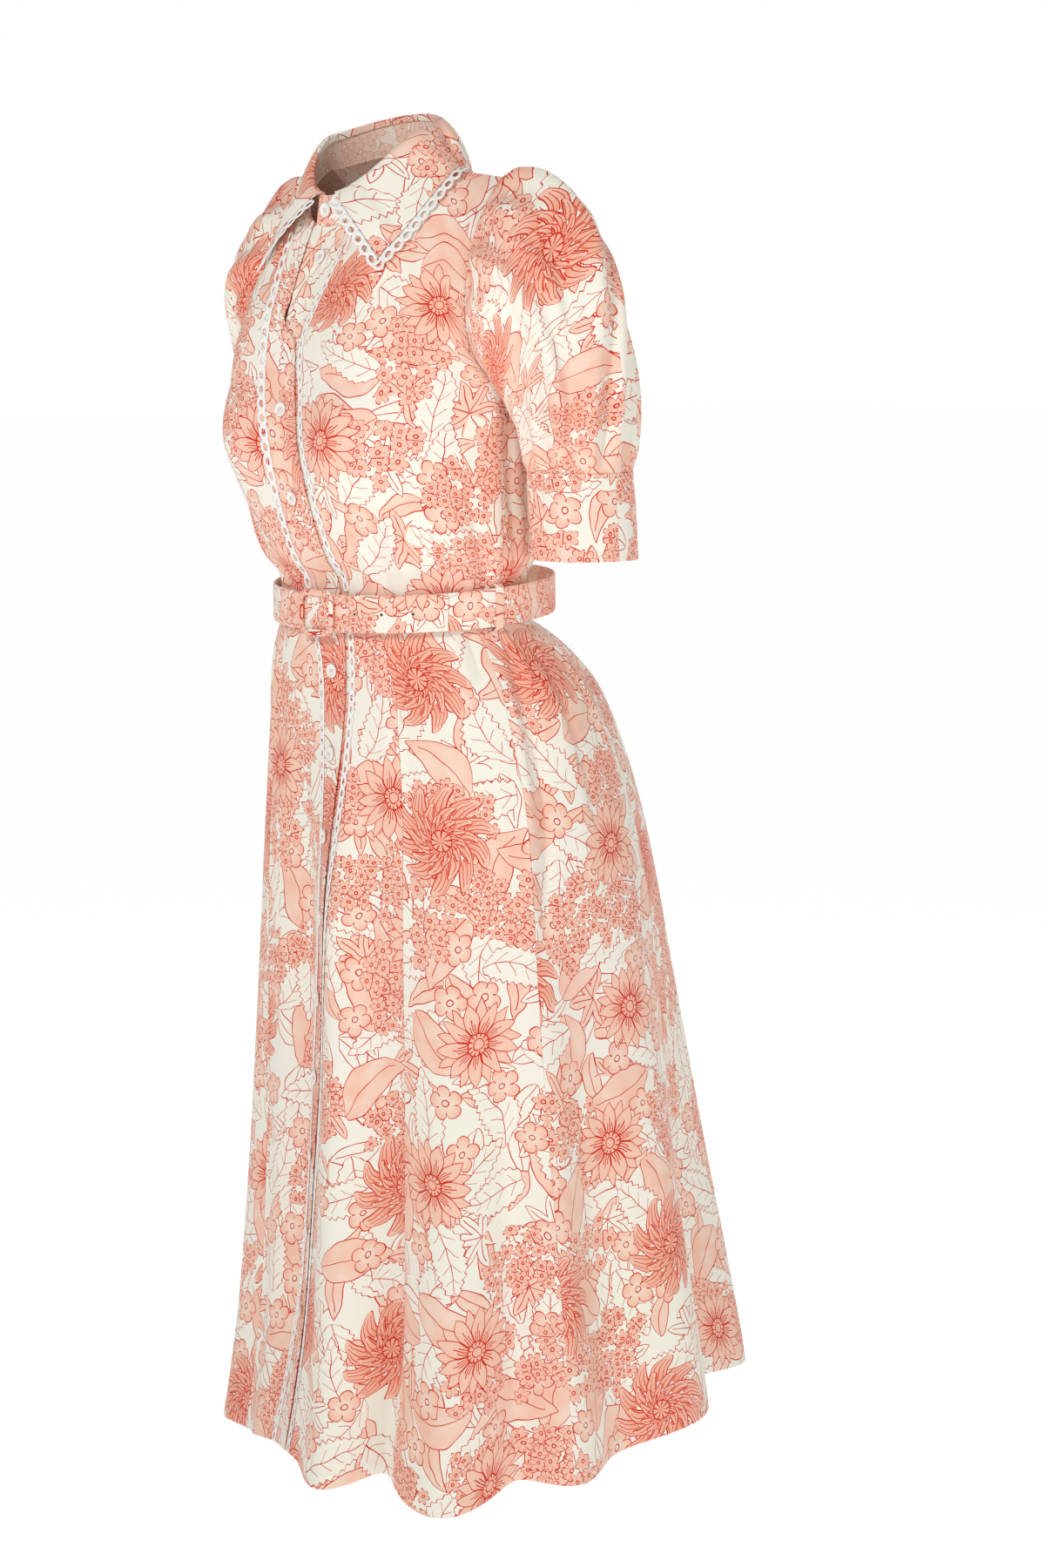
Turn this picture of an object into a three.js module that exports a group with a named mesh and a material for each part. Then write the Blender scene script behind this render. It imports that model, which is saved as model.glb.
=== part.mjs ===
// Button-front maxi dress: shirt collar with lace edging, puff sleeves on fitted cuffs,
// covered-buckle belt and a seven-gore skirt. Millimetres, +Z up, the front faces -Y,
// the wearer's left is +X, and the origin lies between the shoulders at neck height.
import * as THREE from 'three';

// ---------------------------------------------------------------- driving sizes
const CLOTH = 1.3;            // wall of a cloth panel
const SEAM = 0.3;             // gap between neighbouring pieces
const LACE_T = 1.0;           // wall of the lace
const WAIST_Z = -430;         // waist seam
const ARMPIT_Z = -208;        // foot of the armhole
const HEM_Z = -1283;          // lowest hem level
const TWIST_DEG = 5;          // upper body turned by the pose
const LEAN_X = -8;            // upper body shifted to the wearer's right
const NECK = { halfW: 64, cy: -26, front: 64, back: 60, zFront: -58, zBack: 18 };
const SHOULDER = { x: 138, y: 12, z: -12 };
const STAND_H = 30;
const BUTTON_R = 7, BUTTON_T = 2.4, BUTTON_PITCH = 82;
const BELT = { h: 37, t: 2.4, z: -422, tilt: 9, clear: 4.2, backClear: 13 };
const rad = Math.PI / 180;

// ---------------------------------------------------------------- small helpers
const V = (x, y, z) => new THREE.Vector3(x, y, z);
const smooth = (a, b, x) => {
  const t = Math.min(1, Math.max(0, (x - a) / (b - a)));
  return t * t * (3 - 2 * t);
};
const bell = (x, w) => Math.exp(-(x * x) / (w * w));
const wrapDeg = (d) => ((d + 540) % 360) - 180;
const spow = (x, p) => Math.sign(x) * Math.pow(Math.abs(x), p);
// value of a named column at z, from rows sorted from the top down, with smooth slopes
function column(rows, z, key) {
  const n = rows.length;
  if (z >= rows[0].z) return rows[0][key];
  if (z <= rows[n - 1].z) return rows[n - 1][key];
  let i = 0;
  while (rows[i + 1].z > z) i++;
  const slope = (k) => {
    const a = rows[Math.max(0, k - 1)], b = rows[Math.min(n - 1, k + 1)];
    return (b[key] - a[key]) / (b.z - a.z);
  };
  const p = rows[i], q = rows[i + 1], h = q.z - p.z, t = (z - p.z) / h;
  const t2 = t * t, t3 = t2 * t;
  return (2 * t3 - 3 * t2 + 1) * p[key] + (t3 - 2 * t2 + t) * h * slope(i)
    + (-2 * t3 + 3 * t2) * q[key] + (t3 - t2) * h * slope(i + 1);
}
function pose(p) {
  const k = smooth(WAIST_Z, -60, p.z), a = TWIST_DEG * rad * k;
  const x = p.x * Math.cos(a) - p.y * Math.sin(a) + LEAN_X * k;
  return V(x, p.x * Math.sin(a) + p.y * Math.cos(a), p.z);
}

// ---------------------------------------------------------------- bodice form
// ring rows: half width a, depth f to the front and b to the back of an axis at y0
const BODICE_RINGS = [
  { z: -208, y0: -5, a: 166, f: 132, b: 112, n: 2.2 },
  { z: -262, y0: -5, a: 160, f: 136, b: 110, n: 2.22 },
  { z: -310, y0: -4, a: 157, f: 130, b: 107, n: 2.2 },
  { z: -355, y0: -3, a: 158, f: 120, b: 107, n: 2.16 },
  { z: -380, y0: -1, a: 155, f: 112, b: 105, n: 2.1 },
  { z: -394, y0: 0, a: 149, f: 103, b: 101, n: 2.05 },
  { z: -406, y0: 0, a: 146.5, f: 100.5, b: 98.5, n: 2 },
  { z: -430, y0: 0, a: 146, f: 100, b: 98, n: 2 },
];
// soft vertical folds of the bodice: place round the body, reach in z, width and depth
const BODICE_FOLDS = [
  { phi: 34, w: 3.5, top: -280, amp: -3 }, { phi: 43, w: 4, top: -290, amp: 4 }, { phi: 54, w: 4, top: -300, amp: -3 },
  { phi: 66, w: 4, top: -310, amp: 4 }, { phi: 80, w: 4.5, top: -320, amp: -3 },
  { phi: 104, w: 5, top: -310, amp: 3.5 }, { phi: 122, w: 5, top: -300, amp: -3 },
  { phi: 140, w: 5, top: -290, amp: 4 }, { phi: 160, w: 5, top: -300, amp: -3 },
  { phi: -37, w: 4, top: -285, amp: -3 },
  { phi: -48, w: 4, top: -290, amp: 4 }, { phi: -61, w: 4, top: -300, amp: -3 },
  { phi: -74, w: 4.5, top: -315, amp: 3.5 }, { phi: -96, w: 5, top: -315, amp: -3 },
  { phi: -114, w: 5, top: -300, amp: 3.5 }, { phi: -133, w: 5, top: -295, amp: -3 },
  { phi: -151, w: 5, top: -300, amp: 4 }, { phi: -172, w: 5, top: -300, amp: -3 },
];
const BUST = { x: 84, z: -258, out: 25, w: 52, h: 66 };
function ring(rows, phi, z) {
  const c = Math.cos(phi), s = Math.sin(phi);
  const g = (k) => column(rows, z, k), n = g('n'), e = 2 / n;
  return V(g('a') * spow(s, e), g('y0') - (c > 0 ? g('f') : g('b')) * spow(c, e), z);
}
function bodyLow(phi, z) {
  const p = ring(BODICE_RINGS, phi, z);
  if (Math.cos(phi) > 0) {
    const bx = (Math.abs(p.x) - BUST.x) / BUST.w, bz = (z - BUST.z) / BUST.h;
    p.y -= BUST.out * Math.exp(-bx * bx - bz * bz) * smooth(0, 0.5, Math.cos(phi));
  }
  const deg = Math.atan2(Math.sin(phi), Math.cos(phi)) / rad;
  let d = 0;
  for (const f of BODICE_FOLDS) {
    d += f.amp * bell(deg - f.phi, f.w) * smooth(f.top, -380, z) * (1 - 0.9 * smooth(-384, -402, z));
  }
  return p.add(V(Math.sin(phi), -Math.cos(phi), 0).multiplyScalar(d));
}
// control offsets above the armhole's foot, by share s of the quarter from centre to side
const FRONT_CTRL = [
  { s: 0, p1: [0, 8, 50], p2: [0, -16, -50] },
  { s: 0.5, p1: [-6, 0, 62], p2: [10, -44, -28] },
  { s: 0.75, p1: [-12, -8, 55], p2: [14, -54, -34] },
  { s: 1, p1: [-17, -70, 6], p2: [10, -72, -50] },
];
const BACK_CTRL = [
  { s: 0, p1: [0, 6, 72], p2: [0, 40, -30] },
  { s: 0.5, p1: [-4, 8, 70], p2: [14, 64, -26] },
  { s: 0.75, p1: [-10, 12, 60], p2: [14, 60, -34] },
  { s: 1, p1: [-16, 66, 10], p2: [8, 66, -52] },
];
function ctrl(rows, s, key) {
  let i = 0;
  while (i < rows.length - 2 && rows[i + 1].s < s) i++;
  const t = (s - rows[i].s) / (rows[i + 1].s - rows[i].s);
  return V(...rows[i][key]).lerp(V(...rows[i + 1][key]), t);
}
const NECK_SHARE = 0.5;       // share of the quarter that ends at the neck
function neckPoint(psi) {     // psi 0 at the front, 90 at the side, 180 at the back
  const c = Math.cos(psi);
  const depth = c > 0 ? NECK.front : NECK.back;
  const z = c > 0 ? NECK.zFront * Math.pow(c, 1.4) : NECK.zBack * Math.pow(-c, 1.2);
  return V(NECK.halfW * Math.sin(psi), NECK.cy - depth * c, z);
}
function topPoint(s, back) {
  if (s <= NECK_SHARE) return neckPoint((back ? 180 - 90 * s / NECK_SHARE : 90 * s / NECK_SHARE) * rad);
  const t = (s - NECK_SHARE) / (1 - NECK_SHARE);
  return neckPoint(90 * rad).lerp(V(SHOULDER.x, SHOULDER.y, SHOULDER.z), t);
}
function bezier(p0, p1, p2, p3, t) {
  const u = 1 - t;
  return V(0, 0, 0).addScaledVector(p0, u * u * u).addScaledVector(p1, 3 * u * u * t)
    .addScaledVector(p2, 3 * u * t * t).addScaledVector(p3, t * t * t);
}
// body(phi, v): v 0 at the waist, 0.5 at the armhole's foot, 1 at the neck and shoulder seam
function body(phi, v) {
  if (v <= 0.5) return bodyLow(phi, WAIST_Z + (ARMPIT_Z - WAIST_Z) * v * 2);
  const side = Math.sin(phi) < 0 ? -1 : 1;
  const ang = Math.abs(Math.atan2(Math.sin(phi), Math.cos(phi)));
  const back = ang > Math.PI / 2;
  const s = Math.min(1, back ? (Math.PI - ang) / (Math.PI / 2) : ang / (Math.PI / 2));
  const rows = back ? BACK_CTRL : FRONT_CTRL, p0 = bodyLow(ang, ARMPIT_Z), p3 = topPoint(s, back);
  const p = bezier(p0, p0.clone().add(ctrl(rows, s, 'p1')), p3.clone().add(ctrl(rows, s, 'p2')), p3,
    v * 2 - 1);
  p.x *= side;
  return p;
}
// unit normal of a surface f(a, b), on the side that the hint points to
function normalOf(f, a, b, hint, h = 1e-3) {
  const n = f(a + h, b).sub(f(a - h, b)).cross(f(a, b + h).sub(f(a, b - h))).normalize();
  return n.dot(hint(f(a, b))) < 0 ? n.negate() : n;
}
function bodyAt(phi, v, off) {
  const vv = Math.min(v, 0.998);
  const n = normalOf(body, phi, vv, (p) => {
    const k = smooth(-130, 0, p.z);
    return V(p.x * (1 - k), (p.y + 26) * (1 - 0.6 * k), 60 * k);
  });
  return body(phi, v).addScaledVector(n, off);
}
// the place on the body where x and z are given, on its front or its back
function onBody(x, z, back) {
  const q = (s) => (back ? Math.PI - s * Math.PI / 2 : s * Math.PI / 2) * (x < 0 ? -1 : 1);
  let lo = 0, hi = 1, s = 0;
  for (let i = 0; i < 26; i++) {
    const v = (lo + hi) / 2;
    let a = 0, b = 1;
    for (let k = 0; k < 22; k++) {
      s = (a + b) / 2;
      if (Math.abs(body(q(s), v).x) < Math.abs(x)) a = s; else b = s;
    }
    if (body(q(s), v).z < z) lo = v; else hi = v;
  }
  return { phi: q(s), v: (lo + hi) / 2 };
}

// ---------------------------------------------------------------- solids from grids
function solid(rowsIn, rowsOut, wrap) {
  const m = rowsIn.length, n = rowsIn[0].length, pos = [], idx = [];
  for (const rows of [rowsIn, rowsOut]) for (const r of rows) for (const p of r) pos.push(p.x, p.y, p.z);
  const at = (side, i, j) => side * m * n + i * n + (wrap ? j % n : j);
  const quad = (a, b, c, d) => idx.push(a, b, c, a, c, d);
  const cols = wrap ? n : n - 1;
  for (let i = 0; i < m - 1; i++) for (let j = 0; j < cols; j++) {
    quad(at(1, i, j), at(1, i, j + 1), at(1, i + 1, j + 1), at(1, i + 1, j));
    quad(at(0, i, j), at(0, i + 1, j), at(0, i + 1, j + 1), at(0, i, j + 1));
  }
  for (let j = 0; j < cols; j++) {
    quad(at(0, 0, j), at(0, 0, j + 1), at(1, 0, j + 1), at(1, 0, j));
    quad(at(0, m - 1, j), at(1, m - 1, j), at(1, m - 1, j + 1), at(0, m - 1, j + 1));
  }
  if (!wrap) for (let i = 0; i < m - 1; i++) {
    quad(at(0, i, 0), at(1, i, 0), at(1, i + 1, 0), at(0, i + 1, 0));
    quad(at(0, i, n - 1), at(0, i + 1, n - 1), at(1, i + 1, n - 1), at(1, i, n - 1));
  }
  return finish(pos, idx);
}
function finish(pos, idx) {
  let vol = 0;
  const p = (k) => V(pos[3 * k], pos[3 * k + 1], pos[3 * k + 2]);
  for (let k = 0; k < idx.length; k += 3) vol += p(idx[k]).dot(p(idx[k + 1]).cross(p(idx[k + 2])));
  if (vol < 0) for (let k = 0; k < idx.length; k += 3) [idx[k + 1], idx[k + 2]] = [idx[k + 2], idx[k + 1]];
  const g = new THREE.BufferGeometry();
  g.setAttribute('position', new THREE.Float32BufferAttribute(pos, 3));
  g.setIndex(idx);
  g.computeVertexNormals();
  return g;
}
const dress = new THREE.Group();
dress.name = 'dress';
const LOOK = {
  cloth: { color: 0xf3c9b4, roughness: 0.78, metalness: 0 },
  lace: { color: 0xf7f5f0, roughness: 0.85, metalness: 0 },
  button: { color: 0xf6f3ea, roughness: 0.35, metalness: 0 },
};
function add(name, geometry, look) {
  const mesh = new THREE.Mesh(geometry, new THREE.MeshStandardMaterial(LOOK[look]));
  mesh.name = name;
  dress.add(mesh);
}
// panel(surf, rows, cols): surf(u, v, offset) is a posed point; u, v run 0 to 1
function panel(name, surf, rows, cols, t0, t1, look = 'cloth', wrap = false) {
  const grid = (off) => rows.map((v) => cols.map((u) => surf(u, v, off)));
  add(name, solid(grid(t0), grid(t1), wrap), look);
}
const steps = (n, a = 0, b = 1) => Array.from({ length: n + 1 }, (_, i) => a + (b - a) * i / n);
const ringSteps = (n) => Array.from({ length: n }, (_, i) => i / n);

// ---------------------------------------------------------------- front opening lines
// x of the seam and the free edge of both front bands, from the neck down to the hem
const FRONT_LINES = [
  { z: -50, seamR: -52, edgeR: -22.4, seamL: 25, edgeL: -20.5, lift: 0 },
  { z: -100, seamR: -48, edgeR: -22.2, seamL: 29, edgeL: -20.5, lift: 0 },
  { z: -132, seamR: -44, edgeR: -21.9, seamL: 19, edgeL: -20.5, lift: 0 },
  { z: -150, seamR: -42, edgeR: -21.7, seamL: 12, edgeL: -20.5, lift: 1 },
  { z: -172, seamR: -39, edgeR: -1, seamL: 8, edgeL: -20.5, lift: 1 },
  { z: -215, seamR: -33, edgeR: 12, seamL: 19, edgeL: -18, lift: 1 },
  { z: -264, seamR: -23, edgeR: 24, seamL: 31, edgeL: -12, lift: 1 },
  { z: -340, seamR: -20, edgeR: 26, seamL: 33, edgeL: -10, lift: 1 },
  { z: -430, seamR: -12, edgeR: 31, seamL: 38, edgeL: -6, lift: 1 },
  { z: -480, seamR: 0, edgeR: 36, seamL: 43, edgeL: 4, lift: 1 },
  { z: -545, seamR: 2, edgeR: 33, seamL: 40, edgeL: 6, lift: 1 },
  { z: -610, seamR: 4, edgeR: 31, seamL: 38, edgeL: 8, lift: 1.2 },
  { z: -680, seamR: 5, edgeR: 29, seamL: 36, edgeL: 9, lift: 1.2 },
  { z: -760, seamR: -1, edgeR: 25, seamL: 31, edgeL: 3, lift: 1 },
  { z: -860, seamR: -10, edgeR: 14, seamL: 20, edgeL: -6, lift: 1 },
  { z: -1000, seamR: -32, edgeR: -6, seamL: 0, edgeL: -28, lift: 1 },
  { z: -1152, seamR: -44, edgeR: -19, seamL: -12, edgeL: -40, lift: 1 },
  { z: -1230, seamR: -44, edgeR: -17, seamL: -10, edgeL: -40, lift: 1 },
  { z: -1300, seamR: -47, edgeR: -16, seamL: -9, edgeL: -43, lift: 1 },
];
const LIFT = 2.2;             // the upper front lies this far over the lower one
function phiAtX(surface, v, x) {
  let a = 0, b = 80 * rad;
  for (let k = 0; k < 30; k++) {
    const m = (a + b) / 2;
    if (Math.abs(surface(x < 0 ? -m : m, v).x) < Math.abs(x)) a = m; else b = m;
  }
  return (x < 0 ? -1 : 1) * (a + b) / 2;
}
const lineAt = (surface, key, v, shift) => {
  const z = surface(0.02, v).z;
  return phiAtX(surface, v, column(FRONT_LINES, z, key) + shift);
};
// the right front rides over the left one beside the opening
function rightLift(surface, phi, v) {
  const z = surface(0.02, v).z;
  return LIFT * column(FRONT_LINES, z, 'lift') * (1 - smooth(30, 62, Math.abs(phi) / rad) * (phi < 0 ? 1 : 0));
}
// a point of the front cloth, on either side of the opening
const bodyCloth = (phi, v, off, right) => pose(bodyAt(phi, v, off + (right ? rightLift(body, phi, v) : 0)));

const ROWS_V = [0.001, 0.045, 0.1, 0.17, 0.25, 0.33, 0.41, 0.5, 0.57, 0.64, 0.7, 0.76, 0.83, 0.9, 0.955, 0.9985];
const SIDE = 90 * rad;
const frontCols = steps(12).map((t) => 1 - Math.pow(1 - t, 1.15));
panel('bodice_front_left', (u, v, off) => {
  const a = lineAt(body, 'seamL', v, SEAM / 2);
  return bodyCloth(a + (SIDE - 0.0012 - a) * u, v, off, false);
}, ROWS_V, frontCols, 0, CLOTH);
panel('bodice_front_right', (u, v, off) => {
  const a = lineAt(body, 'seamR', v, -SEAM / 2);
  return bodyCloth(a + (-SIDE + 0.0012 - a) * u, v, off, true);
}, ROWS_V, frontCols, 0, CLOTH);
panel('button_band_left', (u, v, off) => {
  const a = lineAt(body, 'edgeL', v, 0), b = lineAt(body, 'seamL', v, -SEAM / 2);
  return bodyCloth(a + (b - a) * u, v, off, false);
}, ROWS_V, steps(3), 0, CLOTH);
panel('placket_right', (u, v, off) => {
  const a = lineAt(body, 'seamR', v, SEAM / 2), b = lineAt(body, 'edgeR', v, 0);
  return bodyCloth(a + (b - a) * u, v, off, true);
}, ROWS_V, steps(3), 0, CLOTH);
const backCols = steps(23);
panel('bodice_back', (u, v, off) => pose(bodyAt(SIDE + 0.0012 + (Math.PI - 0.0024) * u, v, off)),
  ROWS_V, backCols, 0, CLOTH);

// ---------------------------------------------------------------- sleeves and cuffs
const CUFF = { x: 209, y: 51, top: -292, bottom: -376, rx: 48, ry: 51, outX: 1, outY: 8 };
const SLEEVE_COLS = 36, SLEEVE_ROWS = [0, 0.05, 0.12, 0.23, 0.37, 0.52, 0.67, 0.8, 0.91, 1];
const HEAD_PLEATS = 12, CUFF_PLEATS = 12;   // pleats set into the head and into the cuff
// armhole edge by angle th: 0 at the shoulder point, 90 in front, 180 at the foot, 270
// behind. It runs straight from row to row of the bodice, as the panels' edges do, and
// clears their outer side.
const HOLE_V = ROWS_V.filter((v) => v >= 0.5);
function holeEdge(th) {
  const t = th / Math.PI, front = t <= 1, s = front ? t : 2 - t;
  const v = 1 - 0.5 * Math.pow(s, 0.92), phi = SIDE + (front ? -1e-4 : 1e-4);
  let i = 0;
  while (i < HOLE_V.length - 2 && HOLE_V[i + 1] < v) i++;
  const k = Math.min(1, Math.max(0, (v - HOLE_V[i]) / (HOLE_V[i + 1] - HOLE_V[i])));
  const off = CLOTH + SEAM + 0.15 + 1.5 * (1 - Math.cos(th)) / 2;
  return bodyAt(phi, HOLE_V[i], off).lerp(bodyAt(phi, HOLE_V[i + 1], off), k);
}
// reach of the sleeve's head: how far the cloth runs out before it turns down
const HEAD = [
  { th: 0, out: [78, 14, 30], up: 190, swell: 16 },
  { th: 60, out: [62, -26, 8], up: 150, swell: 16 },
  { th: 110, out: [40, -26, -6], up: 90, swell: 13 },
  { th: 150, out: [24, -12, -8], up: 48, swell: 6 },
  { th: 180, out: [15, 4, -10], up: 34, swell: -4 },
  { th: 210, out: [24, 16, -8], up: 48, swell: 6 },
  { th: 250, out: [42, 26, -4], up: 90, swell: 13 },
  { th: 300, out: [64, 30, 10], up: 150, swell: 16 },
  { th: 360, out: [78, 14, 30], up: 190, swell: 16 },
];
function headAt(deg, key, k) {
  let i = 0;
  while (i < HEAD.length - 2 && HEAD[i + 1].th < deg) i++;
  const t = (deg - HEAD[i].th) / (HEAD[i + 1].th - HEAD[i].th), e = t * t * (3 - 2 * t);
  const g = (r) => (k === undefined ? r[key] : r[key][k]);
  return g(HEAD[i]) * (1 - e) + g(HEAD[i + 1]) * e;
}
function cuffPoint(th, z, grow) {
  const k = (CUFF.top - z) / (CUFF.top - CUFF.bottom);
  // th 0 outside, 90 in front, 180 inside, 270 behind
  return V(CUFF.x + CUFF.outX * k + (CUFF.rx + grow) * Math.cos(th),
    CUFF.y + CUFF.outY * k - (CUFF.ry + grow) * Math.sin(th), z);
}
const HOLE_CACHE = new Map();
function sleeve(th, t) {
  const deg = ((th / rad) % 360 + 360) % 360, key = deg.toFixed(4);
  if (!HOLE_CACHE.has(key)) HOLE_CACHE.set(key, holeEdge(deg * rad));
  const p0 = HOLE_CACHE.get(key);
  const out = V(headAt(deg, 'out', 0), headAt(deg, 'out', 1), headAt(deg, 'out', 2));
  const p3 = cuffPoint(deg * rad, CUFF.top + SEAM, 0), sw = headAt(deg, 'swell');
  const p1 = p0.clone().add(out);
  const p2 = p3.clone().add(V(sw * Math.cos(th), -sw * Math.sin(th), headAt(deg, 'up')));
  return bezier(p0, p1, p2, p3, t);
}
function sleeveAxis(p) {                   // centre of the arm at the height of p
  const k = smooth(-20, CUFF.top, p.z);
  return V(150 + (CUFF.x - 150) * k, 12 + (CUFF.y - 12) * k, Math.max(p.z - 10, -90));
}
function sleeveAt(u, t, off, side) {
  const th = u * 2 * Math.PI;
  const hint = (p) => p.clone().sub(sleeveAxis(p));
  const n = normalOf(sleeve, th, Math.min(0.995, Math.max(0.005, t)), hint);
  const deg = (u * 360) % 360, upper = 0.5 + 0.5 * Math.cos(th);
  const head = Math.cos(u * 2 * Math.PI * HEAD_PLEATS) * 3.2 * smooth(0, 0.07, t)
    * (1 - smooth(0.16, 0.42, t)) * smooth(0.35, 0.8, upper);
  const foot = Math.cos(u * 2 * Math.PI * CUFF_PLEATS) * 3 * smooth(0.62, 0.93, t)
    * (1 - smooth(0.95, 1, t) * 0.8);
  const soft = (3.5 * Math.sin(3 * th + 0.7) + 2.5 * Math.sin(5 * th + 2)) * smooth(0.1, 0.4, t)
    * (1 - smooth(0.6, 0.95, t)) * (deg > 120 && deg < 240 ? 0.3 : 1);
  const p = sleeve(th, t).addScaledVector(n, off + head + foot + soft);
  p.x *= side;
  return pose(p);
}
for (const [label, side] of [['left', 1], ['right', -1]]) {
  panel(`sleeve_${label}`, (u, t, off) => sleeveAt(u, t, off, side), SLEEVE_ROWS,
    ringSteps(SLEEVE_COLS), 0, CLOTH, 'cloth', true);
  panel(`cuff_${label}`, (u, t, off) => {
    const z = CUFF.top + (CUFF.bottom - CUFF.top) * t;
    const p = cuffPoint(u * 2 * Math.PI, z, off + 0.6 * Math.sin(Math.PI * t));
    p.x *= side;
    return pose(p);
  }, [0, 0.5, 1], ringSteps(30), -0.2, 1.7, 'cloth', true);
}

// ---------------------------------------------------------------- collar
// stand: from the neck seam up to the fold, open at the front
const standBack = 180 * rad;
function standPoint(psi, h, off) {
  const s = Math.sign(psi) || 1, a = Math.abs(psi), base = neckPoint(a);
  const lift = 2.2 + h * (STAND_H - 2 + 4 * (1 - Math.cos(a)) / 2);
  const out = V(Math.sin(a) * 1.1, -Math.cos(a), 0).normalize();
  const p = base.clone().addScaledVector(out, off + 0.4 - 3.2 * h).add(V(0, 0, lift));
  p.x *= s;
  return p;
}
const psiL = -14.5, psiR = -16.5;          // both ends of the stand, past the centre, degrees
panel('collar_stand', (u, h, off) => {
  // from the wearer's left band round the back to the wearer's right band
  const deg = psiL + (360 + psiR - psiL - 22) * u;
  const a = deg > 180 ? deg - 360 : deg;
  return pose(standPoint(a * rad, h, off));
}, [0, 1], steps(36), 0, CLOTH);

// leaves: fold line along the top of the stand, outer edge lying on the body
const LEAF_FRONT = [                       // outer edge, x and z on the body's front
  { w: 0, x: 80, z: -90 }, { w: 0.2, x: 91, z: -54 }, { w: 0.38, x: 98, z: -20 },
  { w: 0.46, x: 98, z: -6 },
];
const LEAF_BACK = [                        // and on its back, up to the centre
  { w: 0.46, x: 98, z: -6 }, { w: 0.6, x: 86, z: -14 }, { w: 0.74, x: 62, z: -23 },
  { w: 0.88, x: 32, z: -29 }, { w: 1, x: 0.01, z: -31 },
];
function along(rows, w, key) {
  return column(rows.map((r) => ({ ...r, z: -r.w, val: r[key] })), -w, 'val');
}
const LEAF_SPOTS = steps(23).map((w) => {
  const back = w > 0.46, rows = back ? LEAF_BACK : LEAF_FRONT;
  const q = onBody(along(rows, w, 'x'), along(rows, w, 'z'), back);
  return { w, p: bodyAt(q.phi, q.v, 0), n: bodyAt(q.phi, q.v, 1).sub(bodyAt(q.phi, q.v, 0)) };
});
function leafEdge(w, key) {                // smooth curve through the outer edge's points
  const R = LEAF_SPOTS;
  let i = 0;
  while (i < R.length - 2 && R[i + 1].w < w) i++;
  const a = R[i], b = R[i + 1], h = b.w - a.w, t = (w - a.w) / h;
  const m = (k) => {
    const p = R[Math.max(0, k - 1)], q = R[Math.min(R.length - 1, k + 1)];
    return q[key].clone().sub(p[key]).divideScalar(q.w - p.w);
  };
  const t2 = t * t, t3 = t2 * t;
  return a[key].clone().multiplyScalar(2 * t3 - 3 * t2 + 1).addScaledVector(m(i), (t3 - 2 * t2 + t) * h)
    .addScaledVector(b[key], -2 * t3 + 3 * t2).addScaledVector(m(i + 1), (t3 - t2) * h);
}
function leaf(w, q) {
  const psi = (8 + 172 * w) * rad;
  const fold = standPoint(psi, 1, 0).add(V(Math.sin(psi) * 0.5, -Math.cos(psi) * 0.5, 1.2));
  const n = leafEdge(w, 'n').normalize();
  const ridge = 2 * bell(w - 0.46, 0.09);   // clears the shoulder seam
  const g = leafEdge(w, 'p').addScaledVector(n, CLOTH + 2.0 + ridge);
  const span = fold.clone().sub(g), d = span.clone().addScaledVector(n, -span.dot(n)).normalize();
  const L = span.length();
  const out = V(Math.sin(psi) * 1.05, -Math.cos(psi), 0).normalize();
  const p1 = fold.clone().addScaledVector(out, 7 + 3 * w).add(V(0, 0, 3));
  const p2 = g.clone().addScaledVector(d, 0.48 * L).addScaledVector(n, 7 + 15 * smooth(0.3, 0.6, w));
  return bezier(fold, p1, p2, g, q);
}
function leafAt(w, q, off, side) {
  const n = normalOf(leaf, Math.min(0.998, Math.max(0.002, w)), Math.min(0.995, Math.max(0.005, q)),
    (p) => V(p.x, p.y + 26, 40));
  const p = leaf(w, q).addScaledVector(n, off);
  p.x *= side;
  return pose(p);
}
const LEAF_LACE = 9.5;                     // width of the edging
for (const [label, side] of [['left', 1], ['right', -1]]) {
  const w1 = 0.9985;
  panel(`collar_leaf_${label}`, (w, q, off) => leafAt(w * w1, q, off, side),
    [0.0, 0.15, 0.35, 0.65, 1], steps(18), 0, CLOTH);
}

// edging: a ladder of lace round the front edge, the point and the outer edge of each leaf
const EDGING = { w: 11, pitch: 11.5, rung: 4.2, rail: 2.1, rise: 0.14, from: 2 };
function edgingPath() {
  const spots = [], e = 0.004;
  const dirs = (w, q) => {
    const p = leaf(w, q), n = q > 0.999 ? leafEdge(w, 'n').normalize()
      : normalOf(leaf, e, Math.max(e, Math.min(1 - e, q)), (x) => V(x.x, x.y + 26, 40));
    const out = q > 0.999 ? leaf(w, 1).sub(leaf(w, 0.97)) : leaf(0, q).sub(leaf(0.03, q));
    out.addScaledVector(n, -out.dot(n)).normalize();
    return { p, n, o: out.addScaledVector(n, EDGING.rise).normalize() };
  };
  for (const q of steps(12, 0.3, 1)) spots.push(dirs(0, Math.min(q, 0.998)));
  const from = spots[spots.length - 1], to = dirs(0, 1);
  for (const k of [0.34, 0.67]) {
    spots.push({ p: to.p.clone(), n: to.n, o: from.o.clone().lerp(to.o, k).normalize() });
  }
  for (const w of steps(40, 0, 0.998)) spots.push(dirs(w, 1));
  let run = 0;
  spots.forEach((s, i) => {
    const mid = (r) => r.p.clone().addScaledVector(r.o, EDGING.w / 2);
    if (i) run += mid(s).distanceTo(mid(spots[i - 1]));
    s.run = run;
  });
  return spots;
}
const PATH = edgingPath();
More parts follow.
